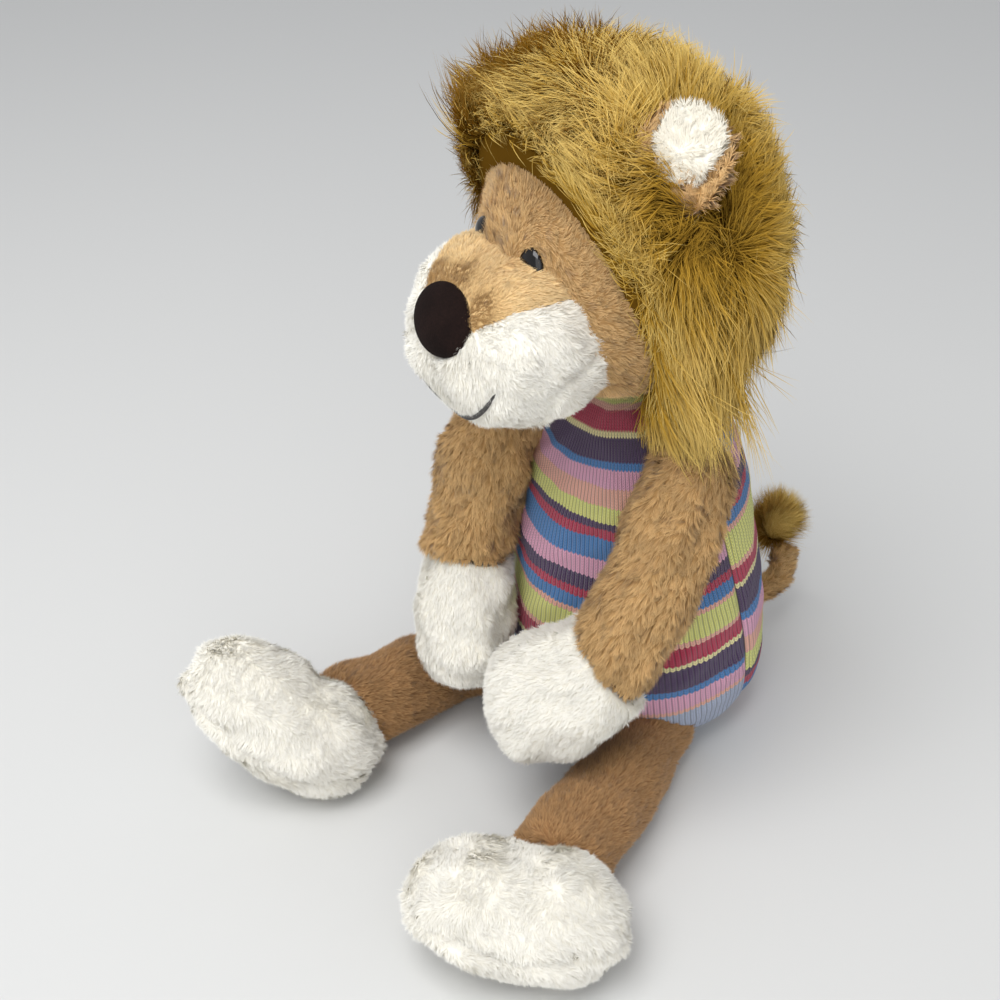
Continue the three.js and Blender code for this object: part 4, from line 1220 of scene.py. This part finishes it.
# Eyes
# Glossy black safety eyes: a low dome on a post that goes through the cloth, with a washer
# pressed onto the post behind it. The washers keep the frame's shape and place.
eye_radius, eye_dome, eye_shank, shank_length = 5.8, 3.2, 1.9, 10.0
eye_inset, dome_foot = 0.9, 0.15
gloss, tree, surface = blank_material(
    "eye_plastic", Roughness=0.07, Coat_Weight=0.5, Coat_Roughness=0.02, Specular_IOR_Level=0.3
)
two_tones(tree, surface, grain(tree, 700.0, 4), tone(4, 3, 3), tone(16, 13, 12))
dome = np.linspace(0, np.pi / 2, 14)
eye_outline = np.vstack([
    [(0, -shank_length), (eye_shank, -shank_length), (eye_shank, 0), (0.94 * eye_radius, -0.1)],
    np.stack([
        eye_radius * np.cos(dome), dome_foot + (eye_dome - dome_foot) * np.sin(dome),
    ], -1),
])
for side, seat in eye_seats.items():
    sign = 1 if side == "left" else -1
    look = unit(np.array([sign * 0.12, -1, 0.1]))
    first = unit(np.cross(look, [0, 0, 1]))
    second = np.cross(look, first)
    turn = np.linspace(0, 2 * np.pi, 48, endpoint=False)
    grid = (
        seat - eye_inset * look
        + eye_outline[:, 1, None, None] * look
        + eye_outline[:, 0, None, None]
        * (np.cos(turn)[:, None] * first + np.sin(turn)[:, None] * second)
    )
    points, faces = closed(grid)
    made = piece(f"eye_{side}", on_head(points), faces, gloss)
    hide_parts(f"eye_{side}")
    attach(made, "head")
washer, tree, surface = blank_material("washer_plastic", Roughness=0.5)
two_tones(tree, surface, grain(tree, 900.0, 3), tone(206, 204, 198), tone(230, 228, 222))
for side in ("left", "right"):
    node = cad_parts[f"eye_washer_{side}"]
    node.data.materials.clear()
    node.data.materials.append(washer)

# Ears
# Small rounded cups of curly tan plush with a white lining in the hollow side. They stand in
# the mane with the hollow turned outward and a little forward.
ear_half_width, ear_thickness, ear_cup, ear_sunk = 15.5, 6.0, 5.0, 3.5
lining_half_width, lining_thickness, lining_gap = 10.0, 2.4, 0.6
ear_path = head_half_width * np.array([
    (0.72, -0.12, 0.6), (0.89, -0.24, 0.86), (0.95, -0.17, 1.01), (0.93, 0, 1.25),
])
ear_shares = [
    (0, 0), (0.02, 0.4), (0.12, 0.62), (0.35, 0.86), (0.6, 1), (0.8, 0.92), (0.94, 0.6), (1, 0),
]
ear_across = np.array([0.73, 0.56, -0.36])
ear_hollow = unit(np.array([0.64, -0.42, 0.63]))
curly_pile = {
    "length": 4.2, "width": 0.6, "lift": 0.55, "tuft": 3.0, "gather": 0.95, "swirl": 0.8,
    "swirl_size": 9.0, "tangle": 0.7, "round": 0.8,
}
lining_pile = {**white_pile, "length": 3.2, "tuft": 2.4, "gather": 0.7, "lift": 0.3, "pale": 0.3}
ear_middles = []
for side, sign in (("left", 1), ("right", -1)):
    flip = np.array([sign, 1, 1])
    low_path = ear_path - ear_sunk * unit(ear_path[-1] - ear_path[0])
    grid, _ = stuffed(
        low_path * flip, ear_shares, ear_half_width - 1.8, ear_thickness / 2 - 0.6,
        ear_across * flip, 64, 60, bow=sign * ear_cup,
    )
    points, faces = closed(grid)
    hairs = pile(points, faces, curly_pile, 7.0, toward(ear_path[-1] - ear_path[0]), 81)
    dressed(f"ear_{side}", [f"ear_{side}"], points, faces, 0.4, [hairs], tan, "tan_plush", fill=0.4)
    lift = (ear_thickness + lining_thickness) / 2 + lining_gap
    lining_path = (low_path[1:] + lift * ear_hollow) * flip
    ear_middles.append(lining_path.mean(0))
    grid, _ = stuffed(
        lining_path, ear_shares, lining_half_width - 0.8, lining_thickness / 2, ear_across * flip,
        56, 50, bow=sign * ear_cup * (lining_half_width / ear_half_width) ** 2,
    )
    points, faces = closed(grid)
    upward = unit(lining_path[-1] - lining_path[0])
    hairs = pile(
        points, faces, lining_pile, 7.0,
        lambda at: unit(at - lining_path.mean(0)) + 0.9 * upward + 0.4 * waves(at, 8, 83), 82,
    )
    dressed(
        f"ear_lining_{side}", [f"ear_lining_{side}"], points, faces, 0.5, [hairs], white,
        "white_plush", fill=0.3,
    )

# Mane
# Long-haired fur round the back of the head, brown at the roots and golden with pale tips. Its
# locks stand out over the forehead, sweep back over the crown and hang beside the neck.
mane_shares = [
    (0, 0), (0, 0.5), (0.005, 0.8), (0.05, 0.93), (0.2, 1), (0.42, 1), (0.65, 0.9), (0.84, 0.68),
    (0.95, 0.42), (1, 0),
]
backing_start = np.array([0, 0, 5.0]) + (hairline - 5.0 * mane_axis[2]) * mane_axis
backing_beside, backing_above, backing_behind = 6.0, 6.5, 2.0
backing_length = mane_front + head_half_depth + backing_behind
backing_grid, _ = stuffed(
    [backing_start + share * backing_length * mane_axis for share in (0, 0.5, 1)], mane_shares,
    head_half_width + backing_beside, head_height / 2 + backing_above, (-1, 0, 0), 96, 90,
)
fur = plush_material(
    "mane_fur", tone(86, 57, 12), tone(176, 137, 50), tone(222, 194, 118), 0.35, 30.0, 0.4,
    sheen=0.0, shine=0.0,
)
backing, backing_faces = closed(backing_grid)
backing_normals = normals_of(backing, backing_faces)
from_hairline = backing @ mane_axis - hairline


parting = 33.0
under_ear = np.array([46.0, -2.0, 28.0])


def from_hairline_of(place):
    """How far behind the hairline a place is, along the mane's axis."""
    return (place @ mane_axis - hairline)[:, None]


def combed(place, seed):
    """The lay of the mane. On the crown hair stands up, and is combed forward before a parting
    that runs from ear to ear and back behind it, by tanh of the distance from it. At the sides
    it spreads out from a hollow under each ear, and low down it hangs. Deep is a bell curve of
    the distance from the hollow, where the dark roots show; there long_hair also colours whole
    hairs darker, as painted shade in the hollow."""
    behind = np.tanh((from_hairline_of(place) - parting) / 8)
    low = np.clip((20 - place[:, 2:3]) / 46, 0, 1)
    low = low * low * (3 - 2 * low)
    side = np.clip((np.abs(place[:, :1]) - 12) / 24, 0, 1)
    away = place - under_ear * np.where(place[:, :1] < 0, [-1, 1, 1], [1, 1, 1])
    deep = np.exp(-((np.linalg.norm(away, axis=1, keepdims=True) / 19) ** 2))
    flow = (
        behind * (1 - 0.7 * low) * (1 - 0.6 * side) * mane_axis
        + np.array([0, 0, 1.0]) * (0.25 - 1.8 * low)
        + 0.9 * side * (1 - 0.5 * low) * unit(away)
        + (0.5 + 0.6 * deep) * waves(place, 24, seed)
    )
    return flow, low, np.clip((place[:, 2:3] - 16) / 30, 0, 1), deep


def long_hair(count, seed, length, clump, width, loose, steps=6):
    """Long fur. A hair rises from its root and bends over along the lay; its tip is drawn to the
    middle of its lock, and a lock has its own length, lift and turn. A hair is lit as if it faced
    away from the head, across its own line, and forward and up. Tips that come far in front of
    the hairline are moved back, and a hair that crosses an ear's hollow is left out."""
    rng = np.random.default_rng(seed)
    weight = ((from_hairline > 1.5) & (backing_normals[:, 2] > -0.75)).astype(float)
    place, normal = scattered(backing, backing_faces, count, rng, weight)
    middle, which = clumped(place, clump, seed + 1)
    groups = which.max() + 1
    own = np.random.default_rng(seed + 2).normal(size=(groups, 3))[which]
    own_length = np.random.default_rng(seed + 3).uniform(0.78, 1.12, groups)[which][:, None]
    flow, low, crown, deep = combed(place, 7)
    flow += (0.3 + 0.5 * deep) * own + 0.14 * rng.normal(size=place.shape)
    flow = unit(flow - (flow * normal).sum(-1, keepdims=True) * normal)
    fringe = np.clip(1 - from_hairline_of(place) / 26, 0, 1)
    rear = np.clip((place[:, 1:2] - 2) / 22, 0, 1)
    lift = np.clip(
        0.42 + 0.26 * crown + 0.2 * fringe - 0.14 * low - 0.17 * rear + 0.09 * own[:, :1]
        + 0.1 * rng.normal(size=(count, 1)),
        0.1, 0.95,
    )
    beside = np.clip((np.abs(place[:, :1]) - 14) / 12, 0, 1)
    reach = length * own_length * rng.uniform(0.75, 1.08, (count, 1)) * (
        1 + 1.3 * low * (1 - 0.8 * rear) - 0.35 * deep + 0.35 * fringe * (1 - low)
        + crown * (0.28 * beside - 0.2) - 0.15 * rear
    )
    share = np.linspace(0, 1, steps)[None, :, None]
    rise = normal[:, None] * (reach * lift)[:, None] * (1.4 * share - 0.4 * share**2)
    lean = flow[:, None] * (reach * np.sqrt(1 - lift**2))[:, None] * (0.35 * share + 0.65 * share**1.7)
    pull = (middle - place)[:, None] * (0.85 - loose) * share**1.4
    curl = waves(place, 13, seed + 5)[:, None] * (1.2 + 2 * loose) * share**2
    curl = curl * (1 - 0.4 * rear)[:, None]
    droop = np.array([0, 0, -1.0]) * (1.0 + 4 * low)[:, None] * share**2
    spine = place[:, None] + rise + lean + pull + curl + droop
    behind = from_hairline_of(place)
    least = 0.15 * behind - 1.0 + 1.3 * own[:, 1:2]
    over = np.maximum(least - (spine[:, -1] @ mane_axis - hairline)[:, None], 0)
    spine = spine + over[:, None] * share**1.3 * mane_axis
    clear = np.ones(count, bool)
    for ear in ear_middles:
        hollow = ear_hollow * [np.sign(ear[0]), 1, 1]
        away = spine - ear
        ahead = away @ hollow
        beside = np.linalg.norm(away - ahead[..., None] * hollow, axis=-1)
        lower = np.clip((3 - away[..., 2] - 0.6 * away[..., 1]) / 7, 0, 1)
        clear &= ~((ahead > -3) & (beside < 12 - 10.5 * lower)).any(1)
    spine, normal, deep = spine[clear], normal[clear], deep[clear]
    which, count = which[clear], int(clear.sum())
    tangent = unit(np.gradient(spine, axis=1))
    out = unit(0.5 * normal[:, None] + unit(spine * [1, 1, 0.9]))
    out = unit(out - (out * tangent).sum(-1, keepdims=True) * tangent)
    twist = rng.normal(0, 0.55, (count, 1, 1))
    across = np.cross(tangent, out)
    across = unit(across * np.cos(twist) + out * np.sin(twist))
    facing = unit(
        out + np.array([0, -0.3, 0.45]) + 0.28 * own[clear][:, None]
        + 0.1 * rng.normal(size=(count, 1, 3))
    )
    share = np.linspace(0, 1, steps)
    half = 0.5 * width * rng.uniform(0.7, 1.3, (count, 1, 1)) * (1 - 0.6 * share[None, :-1, None] ** 2)
    edge = across[:, :-1] * half
    pairs = np.stack([spine[:, :-1] - edge, spine[:, :-1] + edge], axis=2)
    points = np.concatenate([pairs.reshape(count, -1, 3), spine[:, -1:]], axis=1)
    lights = np.concatenate([np.repeat(facing[:, :-1], 2, axis=1), facing[:, -1:]], axis=1)
    lower = 2 * np.arange(steps - 2)
    one = np.vstack([
        np.stack([lower, lower + 1, lower + 3], -1),
        np.stack([lower, lower + 3, lower + 2], -1),
        [[2 * steps - 4, 2 * steps - 3, 2 * steps - 2]],
    ])
    faces = (one[None] + (np.arange(count) * points.shape[1])[:, None, None]).reshape(-1, 3)
    # Painted shade: near the hollow under each ear (deep), whole hairs take colours nearer their roots'
    # dark colour.
    along = np.concatenate([np.repeat(share[:-1], 2), [1.0]])[None] * (1 - 0.65 * deep)
    shade = np.random.default_rng(seed + 6).random(groups)[which]
    tint = np.repeat(0.5 * rng.random(count) + 0.5 * shade, points.shape[1])
    return points.reshape(-1, 3), faces, along.ravel(), tint, lights.reshape(-1, 3)


mane_sets = (  # name, hairs drawn, seed, length, width of a lock, width of a hair, looseness
    ("mane", 20000, 91, 18, 5.0, 0.3, 0.2),
    ("mane_locks_1", 20000, 101, 16, 3.6, 0.28, 0.35),
    ("mane_locks_2", 20000, 111, 20, 6.5, 0.28, 0.4),
    ("mane_locks_3", 20000, 121, 17, 4.5, 0.26, 0.6),
)
for name, *given in mane_sets:
    hairs = long_hair(*given)
    if name == "mane":
        dressed(name, ["mane"], backing, backing_faces, 0.05, [hairs], fur, "mane_fur", fill=0.5)
    else:
        made = piece(
            name, on_head(hairs[0]), hairs[1], fur, normals=on_head(hairs[4], turn_only=True),
            along=hairs[2], tint=hairs[3],
        )
        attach(made, "head")

# Tail
# A short cord of tan plush, stuffed firm, which is sewn into the back and bends up at its end. It
# carries a tuft of the mane's fur.
tail_radius, tail_reach = 6.0, 40.0
tail_root = np.array([2.0, torso_radius, 18.0])
tail_line = tail_root + tail_reach * np.array([
    (0, -0.15, 0), (0.35, 0.27, 0.1), (0.6, 0.51, 0.35), (0.56, 0.63, 0.7),
])
tail_shares = [(0, 0), (0.01, 0.6), (0.08, 1), (0.5, 1), (0.9, 1), (0.99, 0.6), (1, 0)]
grid, _ = stuffed(tail_line, tail_shares, tail_radius, tail_radius, (0.8, -0.6, 0), 40, 50)
made = plush(
    "tail_cord", ["tail_cord"], grid, tan, short_pile, 6.0, toward(tail_line[-1] - tail_line[0]),
    131, "tan_plush", inset=1.2, lump=0.3,
)
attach(made, "tail")
tuft_radius = 11.0
tuft_core, tuft_back = np.array([4.0, 4.0, 7.0]), np.array([2.0, 0, 5.0])
tuft_middle = tail_line[-1] + tuft_radius * np.array([-0.55, 0.25, 0.9])
tuft_points, tuft_faces = closed(ball(tuft_core, 32, 24) + tuft_middle - tuft_back)
tuft_pile = {
    "length": 15.0, "width": 0.3, "lift": 0.3, "tuft": 3.6, "gather": 0.7, "swirl": 0.4,
    "swirl_size": 16.0, "tangle": 0.28, "round": 0.6,
}
tuft_hairs = pile(tuft_points, tuft_faces, tuft_pile, 30.0, toward((0.25, 0.1, 1)), 132)
made = furred(
    "tail_tuft", ["tail_tuft"], tuft_points, tuft_faces, 0.1, [tuft_hairs], fur, "mane_fur", fill=0.5
)
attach(made, "tail")
